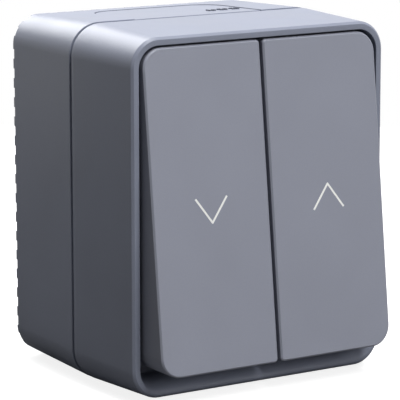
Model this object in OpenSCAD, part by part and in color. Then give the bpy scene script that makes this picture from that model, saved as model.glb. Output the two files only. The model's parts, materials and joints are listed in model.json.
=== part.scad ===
// Surface roller shutter switch with two push rockers, one for down and one for up.
// Each piece is drawn on the wall plane, with X to the right, Y up and Z out of the wall.
// upright() then stands it in the finished frame: +Z up, the wall at y = 0, the front at -Y.

/* [Housing] */
// Width of the housing at the seam
body_w = 72; // [71:0.5:78]
// Height of the housing at the seam
body_h = 86; // [85:0.5:94]
// Depth of the back box, from the wall to the seam
box_depth = 29.4; // [29:0.2:33]
// Depth of the front cover, from the seam to the bezel
cover_depth = 26.6; // [26:0.2:30]
// How far each outer wall slopes in from the seam to its free end
draft = 0.9; // [0.5:0.1:1.1]
// Corner radius at the seam
corner_r = 8; // [7:0.25:9]
// Width of the shadow gap between back box and front cover
seam_gap = 0.5; // [0.3:0.05:0.8]
// Depth of that gap
seam_groove = 0.6; // [0.4:0.05:0.7]
// How far the front cover's edge is set in at the gap
cover_step = 0.25; // [0.1:0.05:0.4]
// Depth over which that edge comes out to full width
cover_lead = 1.9; // [1:0.1:2.5]
// Wall thickness of the back box at the wall
box_wall = 2.2; // [1.8:0.1:2.4]
// Thickness of the back box floor
box_floor = 2.2; // [1.6:0.1:2.6]
// Height of the floor above the wall plane
floor_lift = 1.6; // [1:0.1:2]
// Width of the ribs behind the floor
rib_w = 1.2; // [0.8:0.1:1.6]

/* [Toothed rear rim] */
// Distance from one tooth to the next
tooth_pitch = 4.76; // [4.4:0.02:5.4]
// Width of a tooth
tooth_w = 2.38; // [1.8:0.02:3]
// Depth of the notches between the teeth, seen from the wall
tooth_h = 0.56; // [0.4:0.02:1]
// Height of the uppermost side tooth above the middle
tooth_top = 35.1; // [34:0.1:36]
// How far a notch cuts into the rim from outside
notch_reach = 1.4; // [0.8:0.1:1.6]

/* [Bezel and recess] */
// Width of the bezel rim around the rockers
rim_w = 1.9; // [1.6:0.05:2.2]
// Chamfer of the bezel's outer edge
rim_bevel = 0.6; // [0.3:0.05:0.8]
// Depth of the recess below the bezel
recess_depth = 8; // [7.6:0.1:9]
// Thickness of the recess floor
recess_floor = 2; // [1.6:0.1:2.6]
// Flat bezel left in front of the sill at the bottom
sill_land = 0.15; // [0.05:0.05:0.4]
// Height of the rolled sill above the bottom of the recess
sill_w = 2.4; // [1.6:0.1:3]
// Depth of that sill
sill_depth = 6; // [4:0.2:7]

/* [Rockers] */
// Height of a rocker
rocker_h = 75.3; // [74:0.1:76]
// How much further the bottom edge stands out than the top edge
rocker_stand = 8.5; // [7:0.1:9]
// Depth of the top edge below the bezel
rocker_sink = 0; // [0:0.05:0.5]
// Gap between a rocker and the bezel at the side
side_gap = 0.9; // [0.6:0.05:1.1]
// Gap between a rocker and the bezel at the top
top_gap = 0.5; // [0.4:0.05:0.8]
// Gap between the two rockers
centre_gap = 0.9; // [0.7:0.05:1.2]
// Thickness of the rocker's face
face_t = 2.2; // [1.8:0.1:2.4]
// Thickness of the rocker's side walls
skirt_t = 1.6; // [1.2:0.1:1.8]
// How far the side walls reach below the bezel
skirt_reach = 3; // [2.6:0.1:3.2]
// Chamfer of the rocker's outer edges
rocker_bevel = 0.4; // [0.2:0.05:0.6]
// Corner radius of the rocker's outer corners
rocker_corner_r = 5; // [4:0.25:6]
// Half width of an arrow head
arrow_half_w = 4.3; // [3:0.1:5]
// Height of an arrow head
arrow_h = 5.85; // [4:0.05:7]
// Line width of an arrow head
arrow_line = 0.5; // [0.3:0.05:0.8]
// Depth of the arrow inlay
arrow_depth = 0.3; // [0.2:0.05:0.5]
// Height of the arrow's middle above the middle of the housing
arrow_up = 1.8; // [0:0.1:4]

/* [Hinge] */
// Radius of the hinge pin
pin_r = 1; // [0.8:0.05:1.1]
// Distance from the rocker's top edge down to the pin
hinge_drop = 3.1; // [3:0.05:3.4]
// Height of the pin above the recess floor
hinge_lift = 3.5; // [3.3:0.05:3.7]
// Width of each fixed lug that holds the pin
lug_w = 2.1; // [1.8:0.1:2.2]
// Radius of a fixed lug around the pin
lug_r = 1.9; // [1.6:0.05:1.9]
// Width of each rocker ear that turns on the pin
ear_w = 4; // [3:0.1:4.4]
// Radius of a rocker ear around the pin
ear_r = 2.1; // [1.8:0.05:2.2]
// Running clearance of the ears on the pin
ear_clear = 0.05; // [0.03:0.01:0.08]
// Gap between a lug and the pieces beside it
lug_gap = 0.4; // [0.3:0.05:0.6]

/* [Plungers] */
// Radius of a plunger
plunger_r = 3; // [2.6:0.1:3.2]
// Distance of the plungers from the lower edge of the mechanism
plunger_in = 10; // [9.5:0.25:11.5]
// Sliding clearance of a plunger in its guides
plunger_clear = 0.08; // [0.04:0.01:0.1]
// Travel of a plunger
plunger_travel = 2.55; // [2.2:0.05:2.6]
// Gap between the rocker's post and the plunger's tip
post_gap = 0.3; // [0.2:0.05:0.5]
// Height of the post's end above the recess floor
post_lift = 6; // [5:0.1:6.5]
// Radius of the collar that the spring pushes on
collar_r = 5; // [4.8:0.1:5.2]
// Thickness of the collar
collar_t = 2.1; // [1.6:0.1:2.4]
// Wire thickness of the return springs
spring_wire = 0.7; // [0.5:0.05:0.8]
// Number of turns of a return spring
spring_turns = 5; // [4:1:6]

/* [Mechanism] */
// Distance of the mechanism from the side of the housing
mech_inset = 14; // [13.6:0.1:14.2]
// Wall thickness of the mechanism
mech_wall = 1.8; // [1.4:0.1:2]
// Distance of the mechanism from the wall
mech_back = 8; // [7.6:0.1:8.6]
// Thickness of the base's floor
base_floor = 2; // [1.6:0.1:2.4]
// Thickness of the steel frame
frame_t = 1.2; // [0.8:0.1:1.6]
// Width of the frame's edge that lies between the mechanism's two halves
frame_edge = 1.5; // [1.2:0.1:1.7]
// Thickness of the mechanism cover's front plate
top_plate = 2; // [1.6:0.1:2.4]
// Height of the guide collars on the mechanism cover
guide_h = 3; // [2:0.1:3.4]
// Thickness of the guide plate behind the frame's front
guide_t = 3.2; // [2.6:0.1:3.6]

/* [Contacts] */
// Radius of a contact tip
tip_r = 1.1; // [0.8:0.1:1.3]
// Height of a contact tip
tip_h = 0.8; // [0.6:0.05:1]
// Thickness of the brass strips
strip_t = 0.8; // [0.6:0.05:1]
// Thickness of a contact bridge
bridge_t = 0.6; // [0.5:0.05:0.8]
// Width of a contact bridge
bridge_w = 4; // [3:0.1:4.4]
// Gap left between closed contacts
closed_gap = 0.15; // [0.1:0.01:0.2]
// Height and depth of a terminal block
terminal_h = 8; // [7:0.1:8.4]
// Radius of a wire entry in a terminal
wire_r = 1.6; // [1.2:0.05:1.7]
// Brass left in front of a wire entry
wire_stop = 1.5; // [1:0.1:2]

/* [Screws and wall holes] */
// Distance of the wall holes from the side of the housing
wall_hole_side = 16; // [15.6:0.1:16.4]
// Distance of the wall holes from the top and bottom of the housing
wall_hole_end = 10; // [9.6:0.1:10.4]
// Radius of a wall hole
wall_hole_r = 2.3; // [2:0.05:2.5]
// Radius of the boss around a wall hole
wall_boss_r = 4.6; // [4:0.1:4.8]
// Distance of the cover screws from the side of the housing
cover_screw_side = 8; // [7.8:0.1:8.2]
// Distance of the cover screws from the top and bottom of the housing
cover_screw_end = 13; // [12.6:0.1:13.4]
// Distance of the frame screws from the side of the housing
frame_screw_side = 7.4; // [7.2:0.1:7.8]
// Distance of the mechanism screws from the mechanism's side
mech_screw_in = 5; // [4.6:0.1:5.6]
// Distance of the mechanism screws from the mechanism's edge
mech_screw_out = 3; // [3:0.1:3.4]
// Radius of a screw shank
shank_r = 1.2; // [1:0.05:1.3]
// Radius of a cover screw's head
head_r = 2.8; // [2.4:0.1:2.9]
// Height of a screw head
head_h = 2; // [1.6:0.1:2.2]
// Radius of a screw pillar in the back box
pillar_r = 3.4; // [3:0.1:3.5]
// Radius of a screw pillar in the front cover
cover_pillar_r = 4.2; // [4:0.1:4.3]
// Length of a screw inside its boss
grip = 10; // [8:0.5:11]

/* [Cable entries and seals] */
// Width of an entry insert
insert_w = 36; // [34:0.5:38]
// Distance from the wall to the insert's rear edge
insert_back = 5; // [4.4:0.1:5.6]
// Corner radius of an entry insert
insert_r = 7; // [5:0.25:9]
// How far an insert lies below the wall around it
insert_sink = 0.12; // [0:0.02:0.3]
// Gap around an insert
insert_gap = 0.15; // [0.1:0.01:0.25]
// Thickness of the insert's inner flange
flange_t = 1.6; // [1.2:0.1:2]
// How far the flange reaches behind the wall
flange_lip = 2.2; // [1.6:0.1:2.6]
// Radius of the round cable opening
entry_r = 8; // [7:0.1:8.6]
// Depth of the flange of the cable membrane
membrane_t = 1; // [0.8:0.1:1.2]
// Radius of the cable hole in the membrane
cable_r = 3.2; // [2.8:0.1:4]
// Width of the seal cord in the seam
seal_w = 1.2; // [0.8:0.1:1.4]
// Depth of the seal cord
seal_h = 1.2; // [0.8:0.1:1.6]
// Distance of the seal cord from the outer edge
seal_inset = 1; // [0.8:0.1:1.2]
// Width of the rubber rings around the plungers
ring_w = 2; // [1.4:0.1:2.4]
// Height of the rubber rings
ring_h = 1.4; // [1:0.1:1.8]

/* [Hidden] */
$fn = 48;

// Colours
shell_colour = [0.55, 0.57, 0.61];
rubber_colour = [0.16, 0.16, 0.18];
steel_colour = [0.75, 0.76, 0.78];
brass_colour = [0.80, 0.66, 0.36];
silver_colour = [0.86, 0.86, 0.84];
core_colour = [0.88, 0.87, 0.82];
mark_colour = [0.95, 0.95, 0.95];

// Sides: the down rocker is on the left and the up rocker on the right
down = -1;
up = 1;

// Clearances of pieces that stay put
seat = 0.1;
loose = 0.2;
wide = 0.4;
press = 0.02;
thread = 0.05;
through = 0.5;
sliver = 0.01;
over = 1;
hull_steps = 8;

// Outer form of the housing
front_z = box_depth + cover_depth;
half_w = body_w / 2;
half_h = body_h / 2;
end_half_w = half_w - draft;
end_half_h = half_h - draft;
end_r = corner_r - draft;
inner_half_w = end_half_w - box_wall;
inner_half_h = end_half_h - box_wall;
inner_r = end_r - box_wall;
floor_z = floor_lift + box_floor;
gap_low_z = box_depth - seam_gap / 2;
gap_high_z = box_depth + seam_gap / 2;
tooth_gap = tooth_pitch - tooth_w;
side_notches = floor((2 * tooth_top) / tooth_pitch) + 1;
top_notches = 2 * floor((end_half_w - end_r) / tooth_pitch) + 1;
wall_x = half_w - wall_hole_side;
wall_y = half_h - wall_hole_end;
cover_screw_x = half_w - cover_screw_side;
cover_screw_y = half_h - cover_screw_end;
frame_screw_x = half_w - frame_screw_side;

// Recess
recess_half_w = end_half_w - rim_w;
recess_half_h = end_half_h - rim_w;
recess_r = end_r - rim_w;
recess_z = front_z - recess_depth;
ceiling_z = recess_z - recess_floor;
sill_low = -(end_half_h - rim_bevel - sill_land);
sill_high = -recess_half_h + sill_w;

// Rockers
rocker_half_w = recess_half_w - side_gap;
rocker_top = recess_half_h - top_gap;
rocker_bottom = rocker_top - rocker_h;
rocker_inner = centre_gap / 2;
rocker_mid = (rocker_half_w + rocker_inner) / 2;
face_top_z = front_z - rocker_sink;
slope = rocker_stand / rocker_h;
tilt = atan(slope);
skirt_z = front_z - skirt_reach;
inner_corner_r = 0.9;
function face_z(y) = face_top_z + (rocker_top - y) * slope;

// Hinge
hinge_y = rocker_top - hinge_drop;
hinge_z = recess_z + hinge_lift;
outer_lug_x = rocker_half_w - rocker_corner_r - lug_gap - lug_w;
outer_ear_x = outer_lug_x - lug_gap - ear_w;
inner_lug_x = rocker_inner + skirt_t + lug_gap;
inner_ear_x = inner_lug_x + lug_w + lug_gap;
pin_half = outer_lug_x + lug_w;

// Mechanism stack, from the wall outwards
mech_half = half_w - mech_inset;
mech_in = mech_half - mech_wall;
opening_half = mech_half - frame_edge;
base_in_z = mech_back + base_floor;
mech_space = recess_z - mech_back;
frame_z = mech_back + 0.4 * mech_space;
frame_front_z = frame_z + frame_t;
guide_back_z = frame_front_z - guide_t;
top_z = mech_back + 0.75 * mech_space;
top_in_z = top_z - top_plate;
guide_top_z = top_z + guide_h;
guide_wall = 2;
guide_boss_r = plunger_r + guide_wall;
post_side = 3;
mech_screw_x = mech_half - mech_screw_in;
mech_screw_y = mech_half + mech_screw_out;
tab_r = 3;
tab_h = 3;
base_tab_h = 6;
arm_gap = 4.6;

// Contacts
plunger_x = mech_half / 2;
contact_half = plunger_x / 2;
plunger_y = plunger_in - mech_half;
fixed_tip_z = base_in_z + strip_t;
tip_z = fixed_tip_z + tip_h + closed_gap + plunger_travel;
bridge_z = tip_z + tip_h;
stem_z = bridge_z + bridge_t;
bridge_half = contact_half + tip_r + wide;
rivet_r = 0.9;
pad_half = 2;

// Plungers and springs
post_z = recess_z + post_lift;
tip_centre_z = post_z - post_gap - plunger_r;
collar_z = top_in_z - wide - collar_t;
spring_r = plunger_r + wide + spring_wire / 2;
spring_len = collar_z - frame_front_z;

// Terminals
terminal_w = 0.345 * mech_in;
terminal_x = mech_in - post_side - wide - loose - terminal_w / 2;
terminal_y = mech_in - loose - terminal_h / 2;
wire_drop = 0.5;
terminal_z = base_in_z + terminal_h / 2 - wire_drop;
terminal_xs = [-terminal_x, 0, terminal_x];
screw_shank_r = 1.25;
screw_head_r = 2.1;
screw_head_h = 1.7;

// Pilot holes and screw heads
pilot_r = shank_r + thread;
clear_r = shank_r + through;
pilot_depth = grip + 2;
small_shank_r = 1.1;
small_head_r = 2;
small_head_h = 1.6;
sink_depth = head_h + 0.3;

// Entry inserts
insert_half = insert_w / 2;
flange_y = inner_half_h - seat - flange_t;
entry_z = (insert_back + box_depth) / 2;
membrane_rim = 1.4;
neck_h = 1.6;
hub_h = 2.4;

// Helpers
module upright() {
    rotate([90, 0, 0]) children();
}

module mirrored_x() {
    for (side = [down, up]) scale_side(side) children();
}

module scale_side(side) {
    mirror([side < 0 ? 1 : 0, 0, 0]) children();
}

module round_rect(hw, hh, r) {
    square([2 * hw, 2 * (hh - r)], center = true);
    square([2 * (hw - r), 2 * hh], center = true);
    for (x = [-1, 1], y = [-1, 1]) translate([x * (hw - r), y * (hh - r)]) circle(r);
}

module prism(z0, z1) {
    translate([0, 0, z0]) linear_extrude(z1 - z0) children();
}

module rod(x, y, z0, z1, r) {
    translate([x, y, z0]) cylinder(h = z1 - z0, r = r);
}

module cross_rod(x0, x1, r) {
    translate([x0, hinge_y, hinge_z]) rotate([0, 90, 0]) cylinder(h = x1 - x0, r = r);
}

// The housing's outline at the seam, set in
module seam_outline(inset) {
    round_rect(half_w - inset, half_h - inset, corner_r - inset);
}

// A thin plate of that outline
module outline_plate(inset, z) {
    translate([0, 0, z]) linear_extrude(sliver) seam_outline(inset, $fn = 4 * hull_steps);
}

// Back box
module box_form(sink) {
    hull() {
        outline_plate(sink + draft, 0);
        outline_plate(sink, gap_low_z - sliver);
    }
    prism(gap_low_z - over, box_depth) seam_outline(sink + seam_groove);
}

module rim_notches() {
    for (k = [0:side_notches - 1], side = [down, up])
        translate([side * end_half_w, tooth_top - (k + 0.5) * tooth_pitch, 0])
            cube([2 * notch_reach, tooth_gap, 2 * tooth_h], center = true);
    for (k = [0:top_notches - 1], side = [-1, 1])
        translate([(k - (top_notches - 1) / 2) * tooth_pitch, side * end_half_h, 0])
            cube([tooth_gap, 2 * notch_reach, 2 * tooth_h], center = true);
    for (x = [-1, 1], y = [-1, 1], angle = [27, 63])
        translate([x * (end_half_w - end_r), y * (end_half_h - end_r), 0])
            rotate([0, 0, atan2(y * sin(angle), x * cos(angle))])
                translate([end_r, 0, 0])
                    cube([2 * notch_reach, tooth_gap, 2 * tooth_h], center = true);
}

module seal_groove() {
    prism(box_depth - seal_h, box_depth + over)
        difference() {
            seam_outline(seal_inset);
            seam_outline(seal_inset + seal_w);
        }
}

module insert_outline(gap, end_z) {
    half = insert_half - gap;
    z0 = insert_back + gap;
    translate([-half, z0 + insert_r]) square([2 * half, end_z - z0 - insert_r]);
    translate([-half + insert_r, z0]) square([2 * (half - insert_r), insert_r + over]);
    for (side = [-1, 1]) translate([side * (half - insert_r), z0 + insert_r]) circle(insert_r);
}

module insert_prism(gap, y0, y1, end_z) {
    translate([0, y1, 0]) rotate([90, 0, 0]) linear_extrude(y1 - y0) insert_outline(gap, end_z);
}

// Ribs that join the bosses behind the floor, just clear of the wall
module floor_ribs() {
    prism(wide, floor_z) {
        for (side = [-1, 1]) {
            translate([side * wall_x, 0]) square([rib_w, 2 * wall_y], center = true);
            translate([0, side * wall_y]) square([2 * wall_x, rib_w], center = true);
        }
        square([2 * inner_half_w, rib_w], center = true);
    }
}

module back_box() {
    color(shell_colour) upright() difference() {
        union() {
            difference() {
                box_form(0);
                prism(floor_z, box_depth + over) round_rect(inner_half_w, inner_half_h, inner_r);
                prism(-over, floor_lift) round_rect(inner_half_w, inner_half_h, inner_r);
            }
            for (x = [-1, 1], y = [-1, 1]) {
                rod(x * wall_x, y * wall_y, 0, floor_z + floor_lift, wall_boss_r);
                rod(x * cover_screw_x, y * cover_screw_y, floor_lift, box_depth, pillar_r);
            }
            for (x = [-1, 1]) rod(x * frame_screw_x, 0, floor_lift, frame_z, pillar_r);
            floor_ribs();
        }
        for (x = [-1, 1], y = [-1, 1]) {
            rod(x * wall_x, y * wall_y, -over, floor_z + floor_lift + over, wall_hole_r);
            rod(x * cover_screw_x, y * cover_screw_y, box_depth - pilot_depth, box_depth + over, pilot_r);
        }
        for (x = [-1, 1]) rod(x * frame_screw_x, 0, frame_z - pilot_depth, frame_z + over, pilot_r);
        insert_prism(0, flange_y, half_h + over, box_depth + over);
        mirror([0, 1, 0]) insert_prism(0, flange_y, half_h + over, box_depth + over);
        seal_groove();
        rim_notches();
    }
}

// Entry inserts, drawn in the top wall
module insert_body() {
    difference() {
        union() {
            intersection() {
                box_form(insert_sink);
                insert_prism(insert_gap, flange_y, half_h + over, box_depth);
            }
            translate([-insert_half - flange_lip, flange_y, floor_z + seat])
                cube([insert_w + 2 * flange_lip, flange_t, box_depth - floor_z - seat]);
        }
        seal_groove();
    }
}

module entry_rod(y0, y1, r) {
    translate([0, y1, entry_z]) rotate([90, 0, 0]) cylinder(h = y1 - y0, r = r);
}

// The lowest point of the outer wall around the cable opening
entry_face_y = half_h - insert_sink - draft * (1 - (entry_z - entry_r - membrane_rim) / gap_low_z);

module top_insert() {
    color(shell_colour) upright() difference() {
        insert_body();
        difference() {
            entry_rod(flange_y - over, flange_y + flange_t / 2, entry_r);
            entry_rod(flange_y - 2 * over, flange_y + flange_t, entry_r - 1);
        }
    }
}

module bottom_insert() {
    color(shell_colour) upright() mirror([0, 1, 0]) difference() {
        insert_body();
        entry_rod(flange_y - over, half_h + over, entry_r);
        entry_rod(entry_face_y - membrane_t - seat, half_h + over, entry_r + membrane_rim);
    }
}

module cable_membrane() {
    face_y = entry_face_y - seat;
    neck_r = entry_r - seat;
    disc_y = flange_y - neck_h;
    color(rubber_colour) upright() mirror([0, 1, 0]) difference() {
        union() {
            entry_rod(face_y - membrane_t, face_y, entry_r + membrane_rim - seat);
            entry_rod(disc_y, face_y - membrane_t / 2, neck_r);
            entry_rod(flange_y - membrane_t, flange_y, neck_r + membrane_rim);
            entry_rod(disc_y - hub_h, disc_y + membrane_t / 2, cable_r + membrane_rim);
        }
        entry_rod(disc_y + membrane_t, half_h + over, neck_r - membrane_rim);
        entry_rod(disc_y - hub_h - over, half_h + over, cable_r);
    }
}

module cover_seal() {
    color(rubber_colour) upright() prism(box_depth - seal_h, box_depth) difference() {
        seam_outline(seal_inset + press);
        seam_outline(seal_inset + seal_w - press);
    }
}

// Front cover
module cover_form() {
    hull() {
        outline_plate(cover_step, gap_high_z);
        outline_plate(0, gap_high_z + cover_lead);
        outline_plate(draft, front_z - rim_bevel);
        outline_plate(draft + rim_bevel, front_z - sliver);
    }
    prism(box_depth, gap_high_z + over) seam_outline(seam_groove);
}

// The sill rolls back from the bezel in a quarter of an ellipse
sill_curve = [for (a = [0:10:90])
    [sill_low + (sill_high - sill_low) * sin(a), front_z - sill_depth * (1 - cos(a))]];

module sill_bar(half, ends) {
    translate([-half, 0, 0]) rotate([90, 0, 90]) linear_extrude(2 * half) polygon(concat(sill_curve, ends));
}

module sill() {
    root = rim_w / 2;
    intersection() {
        sill_bar(recess_half_w + root, [[sill_high, recess_z - over], [sill_low, recess_z - over]]);
        prism(0, front_z) round_rect(recess_half_w + root, recess_half_h + root, recess_r + root);
    }
}

module sill_cut() {
    sill_bar(recess_half_w, [[sill_high, front_z + over], [sill_low, front_z + over]]);
}

module hinge_lug(x) {
    translate([x, 0, 0]) {
        cross_rod(0, lug_w, lug_r);
        translate([0, hinge_y - lug_r, recess_z - over]) cube([lug_w, 2 * lug_r, hinge_z - recess_z + over]);
    }
}

module front_cover() {
    color(shell_colour) upright() difference() {
        union() {
            difference() {
                cover_form();
                prism(recess_z, front_z + over) round_rect(recess_half_w, recess_half_h, recess_r);
                prism(box_depth - over, ceiling_z) round_rect(recess_half_w, recess_half_h, recess_r);
                sill_cut();
            }
            sill();
            for (x = [-1, 1], y = [-1, 1])
                rod(x * cover_screw_x, y * cover_screw_y, box_depth, recess_z, cover_pillar_r);
            mirrored_x() {
                rod(plunger_x, plunger_y, ceiling_z - ring_h, recess_z, plunger_r + ring_w + 1.2);
                hinge_lug(inner_lug_x);
                hinge_lug(outer_lug_x);
            }
        }
        for (x = [-1, 1], y = [-1, 1]) {
            rod(x * cover_screw_x, y * cover_screw_y, box_depth - over, recess_z + over, clear_r);
            rod(x * cover_screw_x, y * cover_screw_y, recess_z - sink_depth, recess_z + over, head_r + loose);
        }
        mirrored_x() {
            rod(plunger_x, plunger_y, box_depth, recess_z + over, plunger_r + plunger_clear);
            rod(plunger_x, plunger_y, box_depth, ceiling_z, plunger_r + ring_w + seat);
        }
        cross_rod(-pin_half - over, pin_half + over, pin_r + press);
    }
}

module screw(x, y, seat_z, end_z, shank, head, height) {
    difference() {
        union() {
            rod(x, y, end_z, seat_z + height / 2, shank);
            rod(x, y, seat_z, seat_z + height, head);
        }
        for (turn = [0, 90])
            translate([x, y, seat_z + height])
                rotate([0, 0, turn + 45])
                    cube([1.3 * head, 0.22 * head, height], center = true);
    }
}

module cover_screws() {
    color(steel_colour) upright() for (x = [-1, 1], y = [-1, 1])
        screw(x * cover_screw_x, y * cover_screw_y, recess_z - sink_depth, box_depth - grip,
              shank_r, head_r, head_h);
}

module hinge_pin() {
    color(steel_colour) upright() cross_rod(-pin_half, pin_half, pin_r);
}

module plunger_seals() {
    color(rubber_colour) upright() mirrored_x() difference() {
        rod(plunger_x, plunger_y, ceiling_z - ring_h, ceiling_z, plunger_r + ring_w);
        rod(plunger_x, plunger_y, 0, front_z, plunger_r + plunger_clear);
    }
}

// Mechanism
module support_frame() {
    arm_h = cover_screw_y - pillar_r - arm_gap;
    mast_w = mech_half;
    color(steel_colour) upright() difference() {
        prism(frame_z, frame_front_z) union() {
            square([2 * (frame_screw_x + pillar_r), 2 * arm_h], center = true);
            square([2 * mast_w, 2 * (mech_screw_y + tab_r)], center = true);
        }
        prism(0, front_z) square(2 * opening_half, center = true);
        for (x = [-1, 1]) rod(x * frame_screw_x, 0, 0, front_z, clear_r);
        for (x = [-1, 1], y = [-1, 1])
            rod(x * mech_screw_x, y * mech_screw_y, 0, front_z, small_shank_r + through);
    }
}

module frame_screws() {
    color(steel_colour) upright() for (x = [-1, 1])
        screw(x * frame_screw_x, 0, frame_front_z, frame_z - grip, shank_r, head_r, head_h);
}

module screw_tabs(z0, z1) {
    for (x = [-1, 1], y = [-1, 1]) {
        rod(x * mech_screw_x, y * mech_screw_y, z0, z1, tab_r);
        translate([x * mech_screw_x - tab_r, y > 0 ? mech_half - over : -mech_screw_y, z0])
            cube([2 * tab_r, mech_screw_out + over, z1 - z0]);
    }
}

module corner_posts(z0, z1) {
    reach = mech_in - post_side / 2;
    for (x = [-1, 1], y = [-1, 1])
        translate([x * reach, y * reach, (z0 + z1) / 2])
            cube([post_side + over, post_side + over, z1 - z0], center = true);
}

module mechanism_base() {
    color(core_colour) upright() difference() {
        union() {
            difference() {
                prism(mech_back, frame_z) square(2 * mech_half, center = true);
                prism(base_in_z, frame_z + over) square(2 * mech_in, center = true);
            }
            corner_posts(base_in_z, guide_back_z);
            screw_tabs(frame_z - base_tab_h, frame_z);
        }
        for (x = [-1, 1], y = [-1, 1])
            rod(x * mech_screw_x, y * mech_screw_y, 0, front_z, small_shank_r + thread);
        for (x = terminal_xs) {
            rod(x, terminal_y, 0, base_in_z + sliver, wire_r + wide);
            terminal_rod(x, terminal_y, mech_half + over, screw_head_r + wide);
        }
    }
}

module guide_plate() {
    edge = mech_in - loose;
    color(core_colour) upright() difference() {
        prism(guide_back_z, frame_front_z) square(2 * edge, center = true);
        for (side = [down, up]) rod(side * plunger_x, plunger_y, 0, front_z, plunger_r + plunger_clear);
    }
}

module mechanism_cover() {
    color(core_colour) upright() difference() {
        union() {
            difference() {
                prism(frame_front_z, top_z) square(2 * mech_half, center = true);
                prism(frame_front_z - over, top_in_z) square(2 * mech_in, center = true);
            }
            corner_posts(frame_front_z, top_in_z + over / 2);
            screw_tabs(frame_front_z, frame_front_z + tab_h);
            for (side = [down, up]) rod(side * plunger_x, plunger_y, top_in_z, guide_top_z, guide_boss_r);
        }
        for (side = [down, up]) rod(side * plunger_x, plunger_y, 0, front_z, plunger_r + plunger_clear);
        for (x = [-1, 1], y = [-1, 1])
            rod(x * mech_screw_x, y * mech_screw_y, 0, front_z, small_shank_r + through);
    }
}

module mechanism_screws() {
    color(steel_colour) upright() for (x = [-1, 1], y = [-1, 1])
        screw(x * mech_screw_x, y * mech_screw_y, frame_front_z + tab_h, frame_z - base_tab_h + 0.5,
              small_shank_r, small_head_r, small_head_h);
}

// Terminals and contacts
module terminal_rod(x, y0, y1, r) {
    translate([x, y1, terminal_z]) rotate([90, 0, 0]) cylinder(h = y1 - y0, r = r);
}

module terminal_block(x) {
    difference() {
        translate([x - terminal_w / 2, terminal_y - terminal_h / 2, base_in_z])
            cube([terminal_w, terminal_h, terminal_h]);
        rod(x, terminal_y, base_in_z - over, base_in_z + terminal_h - wire_stop, wire_r);
        terminal_rod(x, terminal_y, terminal_y + terminal_h, screw_shank_r + thread);
    }
}

module strip(x0, x1, y0, y1) {
    translate([x0, y0, base_in_z]) cube([x1 - x0, y1 - y0, strip_t]);
}

module line_terminal() {
    pad = plunger_x - contact_half + pad_half;
    color(brass_colour) upright() {
        terminal_block(0);
        strip(-pad_half, pad_half, plunger_y - pad_half, terminal_y - terminal_h / 2);
        strip(-pad, pad, plunger_y - pad_half, plunger_y + pad_half);
    }
}

module side_terminal(side) {
    pad_x = plunger_x + contact_half;
    color(brass_colour) upright() scale_side(side) {
        terminal_block(terminal_x);
        strip(terminal_x, terminal_x + terminal_w / 2, plunger_y - pad_half, terminal_y - terminal_h / 2);
        strip(terminal_x, pad_x + pad_half, plunger_y - pad_half, plunger_y + pad_half);
    }
}

module down_terminal() {
    side_terminal(down);
}

module up_terminal() {
    side_terminal(up);
}

module terminal_screws() {
    seat_y = terminal_y + terminal_h / 2;
    color(steel_colour) upright() for (x = terminal_xs) difference() {
        union() {
            terminal_rod(x, terminal_y + wire_r - 0.6, seat_y + sliver, screw_shank_r);
            terminal_rod(x, seat_y, seat_y + screw_head_h, screw_head_r);
        }
        translate([x, seat_y + screw_head_h, terminal_z])
            cube([0.5, 1.2, 2 * screw_head_r + over], center = true);
    }
}

module fixed_contacts() {
    color(silver_colour) upright() for (side = [down, up], arm = [-1, 1])
        rod(side * plunger_x + arm * contact_half, plunger_y, fixed_tip_z, fixed_tip_z + tip_h, tip_r);
}

module bridge(side) {
    color(brass_colour) upright() difference() {
        translate([side * plunger_x - bridge_half, plunger_y - bridge_w / 2, bridge_z])
            cube([2 * bridge_half, bridge_w, bridge_t]);
        rod(side * plunger_x, plunger_y, 0, front_z, rivet_r + press);
    }
}

module down_bridge() {
    bridge(down);
}

module up_bridge() {
    bridge(up);
}

module moving_tips(side) {
    color(silver_colour) upright() for (arm = [-1, 1])
        rod(side * plunger_x + arm * contact_half, plunger_y, tip_z, bridge_z, tip_r);
}

module down_tips() {
    moving_tips(down);
}

module up_tips() {
    moving_tips(up);
}

// Plungers and return springs
module plunger(side) {
    x = side * plunger_x;
    color(core_colour) upright() {
        rod(x, plunger_y, stem_z, tip_centre_z, plunger_r);
        translate([x, plunger_y, tip_centre_z]) sphere(plunger_r);
        rod(x, plunger_y, collar_z, collar_z + collar_t, collar_r);
        rod(x, plunger_y, tip_z, stem_z + sliver, rivet_r);
    }
}

module down_plunger() {
    plunger(down);
}

module up_plunger() {
    plunger(up);
}

// A spring wire swept along a helix, with a ring of points at each step
spring_steps = 16;
wire_sides = 6;

function helix_point(i, a) =
    let (turn = 360 * i / spring_steps)
    let (r = spring_r + spring_wire / 2 * cos(a))
    let (rise = (spring_len - spring_wire) * i / (spring_steps * spring_turns))
    [r * cos(turn), r * sin(turn), frame_front_z + spring_wire / 2 + rise + spring_wire / 2 * sin(a)];

module return_spring(side) {
    rings = spring_steps * spring_turns;
    points = [for (i = [0:rings], j = [0:wire_sides - 1]) helix_point(i, 360 * (j + 0.5) / wire_sides)];
    walls = [for (i = [0:rings - 1], j = [0:wire_sides - 1])
        let (k = (j + 1) % wire_sides)
        [i * wire_sides + j, i * wire_sides + k, (i + 1) * wire_sides + k, (i + 1) * wire_sides + j]];
    caps = [[for (j = [0:wire_sides - 1]) wire_sides - 1 - j],
        [for (j = [0:wire_sides - 1]) rings * wire_sides + j]];
    color(steel_colour) upright() translate([side * plunger_x, plunger_y, 0])
        polyhedron(points = points, faces = concat(caps, walls));
}

module down_spring() {
    return_spring(down);
}

module up_spring() {
    return_spring(up);
}

// Rockers, drawn for the right side
function corner(x, y, r, start) =
    [for (i = [0:hull_steps]) let (a = start + 90 * i / hull_steps) [x + r * cos(a), y + r * sin(a)]];

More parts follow.
